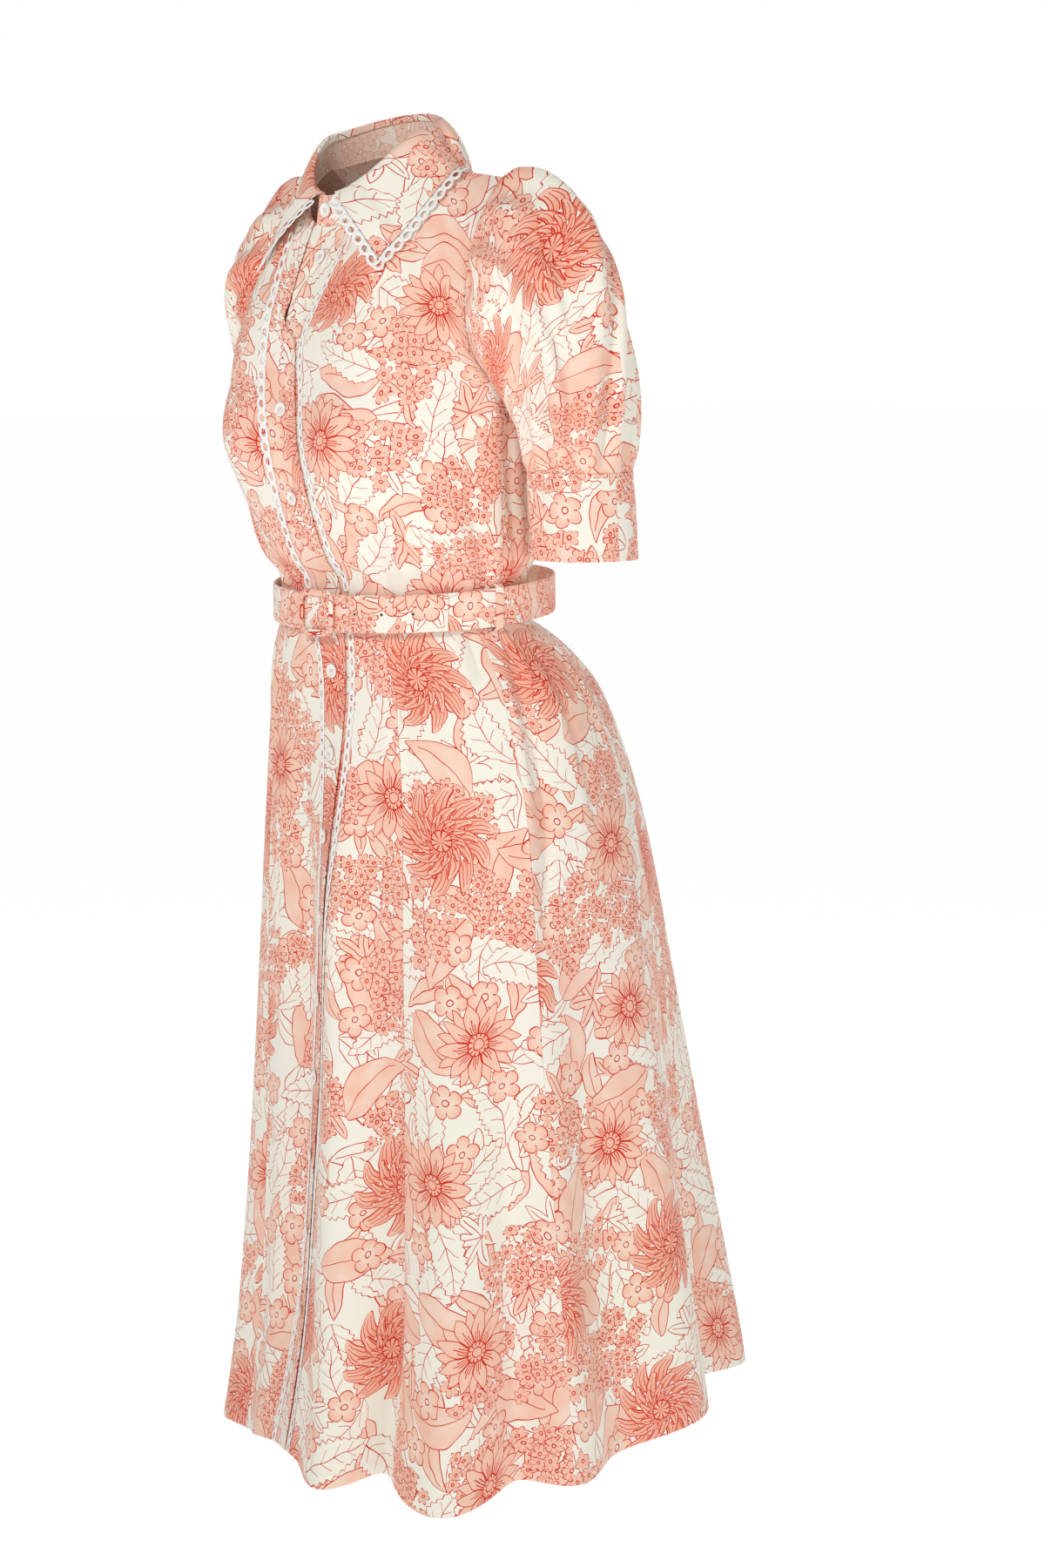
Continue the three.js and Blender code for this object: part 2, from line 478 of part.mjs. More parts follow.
function pathAt(run) {
  let i = 0;
  while (i < PATH.length - 2 && PATH[i + 1].run < run) i++;
  const a = PATH[i], b = PATH[i + 1], t = (run - a.run) / Math.max(1e-6, b.run - a.run);
  return { p: a.p.clone().lerp(b.p, t), n: a.n.clone().lerp(b.n, t).normalize(),
    o: a.o.clone().lerp(b.o, t).normalize() };
}
function ladder(side) {
  const total = PATH[PATH.length - 1].run, cells = Math.floor((total - EDGING.rung) / EDGING.pitch);
  const pitch = (total - EDGING.rung) / cells, cols = [];
  for (let k = 0; k <= cells; k++) cols.push(k * pitch, k * pitch + EDGING.rung);
  const rails = [EDGING.from, EDGING.from + EDGING.rail, EDGING.w - EDGING.rail, EDGING.w];
  const pos = [], idx = [], m = cols.length;
  for (const off of [0.15, 0.15 + LACE_T]) for (const c of cols) {
    const s = pathAt(c);
    for (const r of rails) {
      const p = s.p.clone().addScaledVector(s.o, r).addScaledVector(s.n, off);
      p.x *= side;
      const q = pose(p);
      pos.push(q.x, q.y, q.z);
    }
  }
  const at = (t, c, r) => (t * m + c) * 4 + r;
  const quad = (a, b, c, d) => idx.push(a, b, c, a, c, d);
  for (let c = 0; c < m - 1; c++) {
    for (let r = 0; r < 3; r++) {
      if (c % 2 === 1 && r === 1) continue;
      quad(at(1, c, r), at(1, c + 1, r), at(1, c + 1, r + 1), at(1, c, r + 1));
      quad(at(0, c, r), at(0, c, r + 1), at(0, c + 1, r + 1), at(0, c + 1, r));
    }
    quad(at(0, c, 0), at(0, c + 1, 0), at(1, c + 1, 0), at(1, c, 0));
    quad(at(0, c, 3), at(1, c, 3), at(1, c + 1, 3), at(0, c + 1, 3));
    if (c % 2 === 1) {
      quad(at(0, c, 1), at(1, c, 1), at(1, c + 1, 1), at(0, c + 1, 1));
      quad(at(0, c, 2), at(0, c + 1, 2), at(1, c + 1, 2), at(1, c, 2));
      quad(at(0, c, 1), at(0, c, 2), at(1, c, 2), at(1, c, 1));
      quad(at(0, c + 1, 1), at(1, c + 1, 1), at(1, c + 1, 2), at(0, c + 1, 2));
    }
  }
  for (let r = 0; r < 3; r++) {
    quad(at(0, 0, r), at(1, 0, r), at(1, 0, r + 1), at(0, 0, r + 1));
    quad(at(0, m - 1, r), at(0, m - 1, r + 1), at(1, m - 1, r + 1), at(1, m - 1, r));
  }
  return finish(pos, idx);
}
add('collar_lace_left', ladder(1), 'lace');
add('collar_lace_right', ladder(-1), 'lace');

// ---------------------------------------------------------------- skirt
const SKIRT_RINGS = [
  { z: -430, y0: 0, a: 146, f: 100, b: 98, n: 2 },
  { z: -441, y0: 2, a: 148, f: 101, b: 104, n: 2 },
  { z: -453, y0: 6, a: 153, f: 105, b: 124, n: 2.02 },
  { z: -476, y0: 13, a: 166, f: 112, b: 148, n: 2.06 },
  { z: -520, y0: 22, a: 181, f: 120, b: 176, n: 2.1 },
  { z: -611, y0: 34, a: 198, f: 133, b: 203, n: 2.12 },
  { z: -717, y0: 40, a: 207, f: 143, b: 228, n: 2.12 },
  { z: -861, y0: 46, a: 216, f: 152, b: 250, n: 2.12 },
  { z: -1006, y0: 56, a: 224, f: 168, b: 266, n: 2.1 },
  { z: -1152, y0: 68, a: 233, f: 190, b: 282, n: 2.1 },
  { z: -1235, y0: 76, a: 239, f: 212, b: 290, n: 2.08 },
  { z: -1300, y0: 80, a: 243, f: 230, b: 294, n: 2.08 },
];
// folds of the skirt: place round the body, width, height where each begins, its depth at
// the hem (+ stands out) and how far the hem drops there
const SKIRT_FOLDS = [
  { phi: 15, w: 6, top: -640, amp: 18, drop: 12 },
  { phi: 27, w: 5, top: -700, amp: -17, drop: -6 }, { phi: 44, w: 11, top: -560, amp: 32, drop: 20 },
  { phi: 62, w: 6, top: -620, amp: -14, drop: -4 }, { phi: 76, w: 7, top: -500, amp: 13, drop: 2 },
  { phi: 92, w: 7, top: -600, amp: -13, drop: 0 }, { phi: 110, w: 9, top: -520, amp: 18, drop: 2 },
  { phi: 131, w: 9, top: -620, amp: -24, drop: -4 }, { phi: 153, w: 10, top: -540, amp: 24, drop: 4 },
  { phi: 174, w: 8, top: -600, amp: -16, drop: -3 }, { phi: -166, w: 9, top: -560, amp: 20, drop: 3 },
  { phi: -146, w: 8, top: -640, amp: -18, drop: -3 }, { phi: -125, w: 10, top: -540, amp: 24, drop: 4 },
  { phi: -103, w: 8, top: -600, amp: -18, drop: -2 }, { phi: -84, w: 9, top: -520, amp: 18, drop: 3 },
  { phi: -63, w: 7, top: -620, amp: -17, drop: -2 }, { phi: -42, w: 8, top: -600, amp: 14, drop: 8 },
  { phi: -27, w: 6, top: -660, amp: -8, drop: 6 },
];
// the fold that stands beside the front opening and the valley on its right, full from the
// knee down and softer again at the hem
const OPENING_FOLDS = [{ phi: 9.5, w: 6.5, amp: 22 }, { phi: -10.5, w: 7.5, amp: -19 }];
// short tucks under the belt
const TUCKS = [
  { phi: 33, w: 4, amp: -3 }, { phi: 50, w: 4, amp: 3 }, { phi: 84, w: 5, amp: -7 },
  { phi: 97, w: 5, amp: 5 }, { phi: 128, w: 6, amp: -4 }, { phi: 150, w: 6, amp: 4 },
  { phi: -33, w: 4, amp: 3 }, { phi: -52, w: 4, amp: -3 }, { phi: -86, w: 5, amp: -6 },
  { phi: -99, w: 5, amp: 5 }, { phi: -130, w: 6, amp: -4 }, { phi: -152, w: 6, amp: 4 },
];
const HEM = { z: HEM_Z, rise: 36, from: 78, to: 118 };   // the hem hangs higher behind
function skirt(phi, v) {
  const deg = wrapDeg(phi / rad);
  let drop = 0;
  for (const f of SKIRT_FOLDS) drop += f.drop * bell(wrapDeg(deg - f.phi), f.w * 1.3);
  const rise = HEM.rise * smooth(HEM.from, HEM.to, Math.abs(deg));
  const top = WAIST_Z - 1.2, z = top + (HEM.z + 4 + rise - drop - top) * v;
  const p = ring(SKIRT_RINGS, phi, z);
  let d = 0;
  for (const f of SKIRT_FOLDS) d += f.amp * bell(wrapDeg(deg - f.phi), f.w) * smooth(f.top, -1330, z) * 1.15;
  for (const f of TUCKS) {
    d += f.amp * bell(wrapDeg(deg - f.phi), f.w) * smooth(-450, -510, z) * (1 - smooth(-560, -820, z));
  }
  for (const f of OPENING_FOLDS) {
    d += f.amp * bell(wrapDeg(deg - f.phi), f.w) * smooth(-500, -760, z) * (1 - 0.45 * smooth(-1100, -1290, z));
  }
  return p.add(V(Math.sin(phi), -Math.cos(phi), 0).multiplyScalar(d));
}
function skirtAt(phi, v, off, right) {
  const n = normalOf(skirt, phi, Math.min(0.998, Math.max(0.002, v)), (p) => V(p.x, p.y - 40, 0));
  return pose(skirt(phi, v).addScaledVector(n, off + (right ? rightLift(skirt, phi, v) : 0)));
}
const SKIRT_V = [0, 0.028, 0.06, 0.11, 0.19, 0.29, 0.4, 0.52, 0.65, 0.78, 0.89, 1];
const GORES = [                            // seams round the body, in degrees, and columns
  { name: 'skirt_front', from: 'seam', to: 30, cols: 10 },
  { name: 'skirt_side_front', from: 30, to: 75, cols: 13 },
  { name: 'skirt_side_back', from: 75, to: 128, cols: 14 },
];
const HALF_SEAM = 0.0012;                  // half a seam gap, as an angle
for (const [label, side] of [['left', 1], ['right', -1]]) {
  for (const g of GORES) {
    panel(`${g.name}_${label}`, (u, v, off) => {
      const a = g.from === 'seam'
        ? lineAt(skirt, side > 0 ? 'seamL' : 'seamR', v, side * SEAM / 2) * side
        : g.from * rad + HALF_SEAM;
      return skirtAt(side * (a + (g.to * rad - HALF_SEAM - a) * u), v, off, side < 0);
    }, SKIRT_V, steps(g.cols), 0, CLOTH);
  }
}
panel('skirt_back', (u, v, off) => {
  const a = 128 * rad + HALF_SEAM, b = 232 * rad - HALF_SEAM;
  return skirtAt(a + (b - a) * u, v, off, false);
}, SKIRT_V, steps(24), 0, CLOTH);
panel('skirt_button_band_left', (u, v, off) => {
  const a = lineAt(skirt, 'edgeL', v, 0), b = lineAt(skirt, 'seamL', v, -SEAM / 2);
  return skirtAt(a + (b - a) * u, v, off, false);
}, SKIRT_V, steps(2), 0, CLOTH);
panel('skirt_placket_right', (u, v, off) => {
  const a = lineAt(skirt, 'seamR', v, SEAM / 2), b = lineAt(skirt, 'edgeR', v, 0);
  return skirtAt(a + (b - a) * u, v, off, true);
}, SKIRT_V, steps(2), 0, CLOTH);

// lace strips over the band seams, lying on the cloth
const STRIP = { inner: 3.5, outer: 4, under: -3.5, over: 4 };
const LACE_IN = CLOTH + 0.85, LACE_OUT = LACE_IN + LACE_T;
panel('placket_lace_right', (u, v, off) => {
  const a = lineAt(body, 'seamR', v, -STRIP.outer), b = lineAt(body, 'seamR', v, STRIP.inner);
  return bodyCloth(a + (b - a) * u, v, off, true);
}, ROWS_V.slice(1, -2), [0, 1], LACE_IN, LACE_OUT, 'lace');
panel('placket_lace_left', (u, v, off) => {
  const a = lineAt(body, 'seamL', v, STRIP.under), b = lineAt(body, 'seamL', v, STRIP.over);
  return bodyCloth(a + (b - a) * u, v, off, false);
}, ROWS_V.slice(1, -2), [0, 1], LACE_IN, LACE_OUT, 'lace');
panel('skirt_lace_right', (u, v, off) => {
  const a = lineAt(skirt, 'seamR', v, -STRIP.outer), b = lineAt(skirt, 'seamR', v, STRIP.inner);
  return skirtAt(a + (b - a) * u, v, off, true);
}, SKIRT_V.slice(2), [0, 1], LACE_IN + 0.6, LACE_OUT + 0.6, 'lace');
panel('skirt_lace_left', (u, v, off) => {
  const a = lineAt(skirt, 'seamL', v, STRIP.under), b = lineAt(skirt, 'seamL', v, STRIP.over);
  return skirtAt(a + (b - a) * u, v, off, false);
}, SKIRT_V.slice(2), [0, 1], LACE_IN + 0.6, LACE_OUT + 0.6, 'lace');

// ---------------------------------------------------------------- belt
const BELT_RING = { a: 154, f: 109, b: 148 };
function beltAt(phi, h, off) {
  const s = Math.sin(phi), c = Math.cos(phi), b = c > 0 ? BELT_RING.f : BELT_RING.b;
  const n = V(s / BELT_RING.a, -c / b, 0).normalize();
  const z = BELT.z - BELT.tilt * c + (h - 0.5) * BELT.h;
  return pose(V(BELT_RING.a * s, -b * c, z).addScaledVector(n, off));
}
panel('belt', (u, h, off) => beltAt(u * 2 * Math.PI, h, off), [0, 1], ringSteps(60), 0, BELT.t, 'cloth', true);
const TAIL = { from: -8, to: 62, t: 2 };   // free end, lying over the ring, degrees
const tailIn = BELT.t + SEAM, tailOut = tailIn + TAIL.t;
panel('belt_tail', (u, h, off) => {
  const trim = 0.09 * (1 - smooth(0, 0.04, u));
  return beltAt((TAIL.from + (TAIL.to - TAIL.from) * u) * rad, 0.02 + trim + (0.96 - 2 * trim) * h, off);
}, [0, 1], [0, 0.04, ...steps(13, 0.1, 1)], tailIn, tailOut, 'cloth');
// belt loops: a narrow strip outside the belt at each side seam, whose ends turn in towards
// the dress above and below the belt
function loop(name, deg, half, reach, outer) {
  panel(name, (u, h, off) => {
    const sink = smooth(0.83, 1, Math.abs(2 * h - 1)) * (h > 0.5 ? outer.top : outer.bottom);
    const phi = (deg + (u - 0.5) * 2 * half) * rad;
    return beltAt(phi, 0.5 + (h - 0.5) * reach, off - sink);
  }, [0, 0.04, 0.085, 0.915, 0.96, 1], [0, 1], outer.at, outer.at + 1.2);
}
loop('belt_loop_left', 88, 2.1, 1.26, { at: BELT.t + SEAM, top: 6.1, bottom: 4.6 });
loop('belt_loop_right', -88, 2.1, 1.26, { at: BELT.t + SEAM, top: 6.1, bottom: 4.6 });
// covered buckle: a rounded frame lying on the belt's free end
const BUCKLE = { x: 10, w: 52, h: 45, bar: 6, t: 3.6, corner: 6 };
function placeFlat(mesh, posed, normal) {
  const z = normal.clone().normalize(), y = V(0, 0, 1).addScaledVector(z, -z.z).normalize();
  mesh.matrix.makeBasis(y.clone().cross(z), y, z).setPosition(posed);
  mesh.matrix.decompose(mesh.position, mesh.quaternion, mesh.scale);
}
function roundRect(w, h, r, Kind) {
  const s = new Kind(), x = w / 2, y = h / 2;
  s.moveTo(-x + r, -y);
  s.lineTo(x - r, -y); s.quadraticCurveTo(x, -y, x, -y + r);
  s.lineTo(x, y - r); s.quadraticCurveTo(x, y, x - r, y);
  s.lineTo(-x + r, y); s.quadraticCurveTo(-x, y, -x, y - r);
  s.lineTo(-x, -y + r); s.quadraticCurveTo(-x, -y, -x + r, -y);
  return s;
}
const frame = roundRect(BUCKLE.w, BUCKLE.h, BUCKLE.corner, THREE.Shape);
frame.holes.push(roundRect(BUCKLE.w - 2 * BUCKLE.bar, BUCKLE.h - 2 * BUCKLE.bar, 2.5, THREE.Path));
add('belt_buckle', new THREE.ExtrudeGeometry(frame, { depth: BUCKLE.t, bevelEnabled: false, curveSegments: 4 }), 'cloth');
const buckle = dress.getObjectByName('belt_buckle');
const bucklePhi = Math.asin(BUCKLE.x / BELT_RING.a);
const beltNormal = beltAt(bucklePhi, 0.5, 1).sub(beltAt(bucklePhi, 0.5, 0));
placeFlat(buckle, beltAt(bucklePhi, 0.5, tailOut + SEAM), beltNormal);

// ---------------------------------------------------------------- buttons
const disc = () => new THREE.CylinderGeometry(BUTTON_R, BUTTON_R, BUTTON_T, 14).rotateX(Math.PI / 2)
  .translate(0, 0, BUTTON_T / 2);
function button(name, point) {             // point(off) is the place, off above the cloth
  add(name, disc(), 'button');
  placeFlat(dress.getObjectByName(name), point(0.9), point(1).sub(point(0)));
}
function levelV(surface, x, z) {
  let lo = 0, hi = 1;
  const up = surface(0.02, 0).z < surface(0.02, 1).z;
  for (let k = 0; k < 30; k++) {
    const m = (lo + hi) / 2;
    if ((surface(0.02, m).z < z) === up) lo = m; else hi = m;
  }
  return (lo + hi) / 2;
}
const mid = (z) => (column(FRONT_LINES, z, 'seamR') + column(FRONT_LINES, z, 'edgeR')) / 2;
button('button_stand', (off) => pose(standPoint(-1.5 * rad, 0.5, CLOTH + off)));
button('button_neck', (off) => {
  const v = levelV(body, 0, -88);
  return pose(bodyAt(phiAtX(body, v, 4), v, CLOTH + off));
});
[-234, -318].forEach((z, i) => button(`button_bodice_${i + 1}`, (off) => {
  const v = levelV(body, 0, z), phi = phiAtX(body, v, mid(z));
  return bodyCloth(phi, v, CLOTH + off, true);
}));
const SKIRT_BUTTONS = 9;
// the middle of the placket, running straight from row to row as its solid does
function placketMiddle(v, off) {
  let i = 0;
  while (i < SKIRT_V.length - 2 && SKIRT_V[i + 1] < v) i++;
  const at = (w) => {
    const a = lineAt(skirt, 'seamR', w, SEAM / 2), b = lineAt(skirt, 'edgeR', w, 0);
    return skirtAt((a + b) / 2, w, off, true);
  };
  return at(SKIRT_V[i]).lerp(at(SKIRT_V[i + 1]), (v - SKIRT_V[i]) / (SKIRT_V[i + 1] - SKIRT_V[i]));
}
for (let i = 0; i < SKIRT_BUTTONS; i++) {
  const z = -488 - i * BUTTON_PITCH;
  const v = levelV(skirt, 0, z);
  button(`button_skirt_${i + 1}`, (off) => placketMiddle(v, CLOTH + off + 0.1));
}

export default dress;
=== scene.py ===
# %% [markdown]
# # A button-front maxi dress
# The dress is cloth worn round a hollow: thin panels that meet at seams. This lesson
# rebuilds each panel as a fine sheet on the same form as the fixed frame, and then adds
# what a frame of solids can't show: creases, print, lace, stitches and buttons.
# Sizes are millimetres in the tables and become metres when a mesh is made.

# %% Tools and the fixed frame
import math

import bpy
import numpy as np
from mathutils import Matrix, Vector


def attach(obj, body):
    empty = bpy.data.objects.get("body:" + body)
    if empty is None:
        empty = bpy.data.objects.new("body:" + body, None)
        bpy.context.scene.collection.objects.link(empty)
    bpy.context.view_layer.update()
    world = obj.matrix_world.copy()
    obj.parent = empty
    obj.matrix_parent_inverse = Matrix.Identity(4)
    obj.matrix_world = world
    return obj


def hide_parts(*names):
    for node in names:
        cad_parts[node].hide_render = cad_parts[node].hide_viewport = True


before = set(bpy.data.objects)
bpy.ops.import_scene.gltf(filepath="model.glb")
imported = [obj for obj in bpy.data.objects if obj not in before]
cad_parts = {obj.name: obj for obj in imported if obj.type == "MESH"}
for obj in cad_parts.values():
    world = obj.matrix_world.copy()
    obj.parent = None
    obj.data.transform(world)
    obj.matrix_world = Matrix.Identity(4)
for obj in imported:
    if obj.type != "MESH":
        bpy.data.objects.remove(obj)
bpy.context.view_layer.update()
bpy.ops.object.select_all(action="DESELECT")

# %% [markdown]
# ## Camera and light
# The dress is seen from the wearer's left front, from a little above. A long lens keeps
# its proportions. It hangs in a plain white studio under large soft lamps, so the shadows
# in its folds are pale and warm.

# %% Camera
VIEW_TURN, VIEW_DROP, VIEW_RANGE = math.radians(50), math.radians(7.5), 3.5
VIEW_SHIFT, VIEW_HEIGHT = 0.12, -0.15
right = Vector((math.cos(VIEW_TURN), math.sin(VIEW_TURN), 0))
ahead = Vector((-math.sin(VIEW_TURN), math.cos(VIEW_TURN), 0))
camera = bpy.data.objects.new("camera", bpy.data.cameras.new("camera"))
bpy.context.collection.objects.link(camera)
camera.location = right * VIEW_SHIFT - ahead * VIEW_RANGE + Vector((0, 0, VIEW_HEIGHT))
look = ahead * math.cos(VIEW_DROP) - Vector((0, 0, math.sin(VIEW_DROP)))
camera.rotation_euler = look.to_track_quat("-Z", "Y").to_euler()
camera.data.lens, camera.data.sensor_width = 80.5, 36
camera.data.clip_end = 60
bpy.context.scene.camera = camera
print("camera at", [round(c, 3) for c in camera.location])

# %% World and lamps
# The room is seen as pure white, but lights less strongly, so that the lamps can model
# the folds.
world = bpy.data.worlds.new("studio")
bpy.context.scene.world = world
world.use_nodes = True
sky = world.node_tree
seen, lit = sky.nodes["Background"], sky.nodes.new("ShaderNodeBackground")
seen.inputs["Strength"].default_value, lit.inputs["Strength"].default_value = 1.0, 0.26
seen.inputs["Color"].default_value = (1, 1, 1, 1)
lit.inputs["Color"].default_value = (1.0, 0.985, 0.965, 1)
pick = sky.nodes.new("ShaderNodeMixShader")
sky.links.new(sky.nodes.new("ShaderNodeLightPath").outputs["Is Camera Ray"], pick.inputs[0])
sky.links.new(lit.outputs[0], pick.inputs[1])
sky.links.new(seen.outputs[0], pick.inputs[2])
sky.links.new(pick.outputs[0], sky.nodes["World Output"].inputs[0])
bpy.context.scene.view_settings.view_transform = "Standard"


def soft_lamp(name, turn, rise, reach, size, watts):
    """A square lamp that looks at the dress's middle from the given direction."""
    data = bpy.data.lights.new(name, "AREA")
    data.size, data.energy = size, watts
    lamp = bpy.data.objects.new(name, data)
    bpy.context.collection.objects.link(lamp)
    a, e = math.radians(turn), math.radians(rise)
    away = Vector((math.sin(a) * math.cos(e), -math.cos(a) * math.cos(e), math.sin(e)))
    lamp.location = Vector((0, 0.05, -0.65)) + away * reach
    lamp.rotation_euler = (-away).to_track_quat("-Z", "Y").to_euler()


soft_lamp("key", 22, 34, 3.2, 0.6, 34)
soft_lamp("fill", 95, 8, 3.4, 1.6, 21)
soft_lamp("top", 200, 60, 3.0, 2.0, 8)
soft_lamp("back", 215, 14, 3.4, 1.6, 24)

# a pale floor where the wearer would stand, bright enough to run into the white behind
FLOOR_Z = -1.52
bpy.ops.mesh.primitive_plane_add(size=80, location=(0, 0, 0))
floor = bpy.context.object
floor.name = "pale_floor"
floor.data.transform(Matrix.Translation((0, 0, FLOOR_Z)))
pale = bpy.data.materials.new("pale_floor")
pale.use_nodes = True
for label, value in (("Base Color", (0.3, 0.3, 0.3, 1)), ("Roughness", 0.9),
                     ("Emission Color", (1, 1, 1, 1)), ("Emission Strength", 0.9)):
    pale.node_tree.nodes["Principled BSDF"].inputs[label].default_value = value
floor.data.materials.append(pale)

# %% [markdown]
# ## Node arithmetic
# A print drawn by nodes needs hundreds of small sums. They could be placed one by one in
# the shader editor, but a tiny class lets them be written as ordinary formulas: each + or
# * adds one Math node to the tree in hand.

# %% Numbers in a material
class Num:
    """A number that flows through a material. Operators add Math nodes."""

    tree = None

    def __init__(self, socket):
        self.socket = socket

    def __add__(self, o):
        return op("ADD", self, o)

    def __radd__(self, o):
        return op("ADD", self, o)

    def __sub__(self, o):
        return op("SUBTRACT", self, o)

    def __rsub__(self, o):
        return op("SUBTRACT", o, self)

    def __mul__(self, o):
        return op("MULTIPLY", self, o)

    def __rmul__(self, o):
        return op("MULTIPLY", self, o)

    def __truediv__(self, o):
        return op("DIVIDE", self, o)

    def __lt__(self, o):
        return op("LESS_THAN", self, o)

    def __gt__(self, o):
        return op("GREATER_THAN", self, o)

    def __abs__(self):
        return op("ABSOLUTE", self)


def plug(value, socket):
    if isinstance(value, Num):
        value = value.socket
    if isinstance(value, bpy.types.NodeSocket):
        Num.tree.links.new(value, socket)
    else:
        socket.default_value = value


def op(kind, *values):
    node = Num.tree.nodes.new("ShaderNodeMath")
    node.operation = kind
    for value, socket in zip(values, node.inputs):
        plug(value, socket)
    return Num(node.outputs[0])


print("material numbers ready")

# %% Functions of numbers, colours and vectors
def sine(x):
    return op("SINE", x)


def least(a, b):
    return op("MINIMUM", a, b)


def most(a, b):
    return op("MAXIMUM", a, b)


def part(x):
    return op("FRACT", x)


def whole(x):
    return op("FLOOR", x)


def blend(a, b, share):
    """a where share is 0, b where share is 1."""
    node = Num.tree.nodes.new("ShaderNodeMix")
    plug(share, node.inputs[0])
    plug(a, node.inputs[2])
    plug(b, node.inputs[3])
    return Num(node.outputs[0])


def mixed(a, b, share, kind="MIX"):
    """Colours a and b mixed by a share."""
    node = Num.tree.nodes.new("ShaderNodeMix")
    node.data_type, node.blend_type = "RGBA", kind
    plug(share, node.inputs[0])
    plug(a, node.inputs[6])
    plug(b, node.inputs[7])
    return node.outputs[2]


def rise(x, low, high):
    """0 below low, 1 above high, straight between."""
    node = Num.tree.nodes.new("ShaderNodeMapRange")
    plug(x, node.inputs["Value"])
    plug(low, node.inputs["From Min"])
    plug(high, node.inputs["From Max"])
    return Num(node.outputs["Result"])


def split(vector):
    node = Num.tree.nodes.new("ShaderNodeSeparateXYZ")
    plug(vector, node.inputs[0])
    return [Num(s) for s in node.outputs]


def vector_op(kind, a, b):
    node = Num.tree.nodes.new("ShaderNodeVectorMath")
    node.operation = kind
    plug(a, node.inputs[0])
    plug(b, node.inputs[1])
    return node.outputs[0]


print("node arithmetic ready")

# %% [markdown]
# ## The print
# The cloth has a dense outlined flower print. It could be painted as a texture, but a
# drawing made by nodes stays sharp at any distance and needs no file. Each kind of motif
# is scattered by a Voronoi texture: a cell's centre is a motif's centre, and the cell's
# random colour gives its turn and its kind. A motif is a formula in polar measure round
# that centre, in metres of flat cloth, so petals keep their true size on every panel.
# Layers hide one another from the top down, as a printer's separations do: large flowers,
# sprays of tiny ones, blossoms, and leaves.

# %% Scattering and petals
LINE = 0.00095          # the width of a drawn outline, metres
TAU = 2 * math.pi


def scatter(place, cell, uneven, seed):
    """Motif centres about a cell apart. Returns local x, y, two chances, the centre, and
    how far it is to the next motif's ground."""
    moved = vector_op("ADD", place, (seed * 1.37, seed * 0.73, 0.0))
    found = []
    for feature in ("F1", "DISTANCE_TO_EDGE"):
        node = Num.tree.nodes.new("ShaderNodeTexVoronoi")
        node.voronoi_dimensions, node.feature = "2D", feature
        plug(moved, node.inputs["Vector"])
        plug(1 / cell, node.inputs["Scale"])
        plug(uneven, node.inputs["Randomness"])
        found.append(node)
    node, edge = found
    away = vector_op("SUBTRACT", moved, node.outputs["Position"])
    chance = split(node.outputs["Color"])
    turn = Num.tree.nodes.new("ShaderNodeVectorRotate")
    turn.rotation_type = "Z_AXIS"
    plug(away, turn.inputs["Vector"])
    plug(chance[0] * TAU, turn.inputs["Angle"])
    x, y, _ = split(turn.outputs[0])
    return x, y, chance[1], chance[2], node.outputs["Position"], Num(edge.outputs["Distance"]) * cell


def polar(x, y):
    return op("SQRT", x * x + y * y), op("ARCTAN2", y, x)


def petals(r, angle, count, radius, wide, shift):
    """One ring of pointed petals: how far inside an outline, and the distance to a rib."""
    f = part(angle * (count / TAU) + shift) - 0.5
    across = abs(f) * r * (TAU / count)
    s = r / radius
    half = wide * radius * op("SQRT", s) * (1 - s * s * s)
    return half - across, (0.5 - abs(f)) * r * (TAU / count), across


print("outline width, mm:", LINE * 1000)

# %% Flowers
def daisy(x, y, radius, count):
    """Two rings of pointed petals round a ringed eye, with short lines at their feet."""
    r, angle = polar(x, y)
    front, side, rib = petals(r, angle, count, radius, 2.7 / count, 0.5)
    back, _, _ = petals(r, angle, count, radius * 1.05, 2.2 / count, 0.0)
    on_front, on_back = front > 0, back > 0
    line = on_front * (least(front, side) < LINE)
    foot = abs(abs(rib) - radius * 0.055) < LINE * 0.5
    line = line + on_front * (most((rib < LINE * 0.5) * (r < radius * 0.62), foot * (r < radius * 0.5)))
    line = line + (1 - on_front) * on_back * (back < LINE)
    eye = r < radius * 0.25
    ring = (abs(r - radius * 0.25) < LINE * 0.7) + (abs(r - radius * 0.12) < LINE * 0.6)
    dots = (part(angle * (12 / TAU)) < 0.3) * (r > radius * 0.16) * eye
    inside = most(most(on_front, on_back), eye)
    line = most(line * (1 - eye), ring + dots)
    return inside, line, blend(1.0 + 0.25 * (1 - rise(r, radius * 0.25, radius * 0.7)), 1.3, eye)


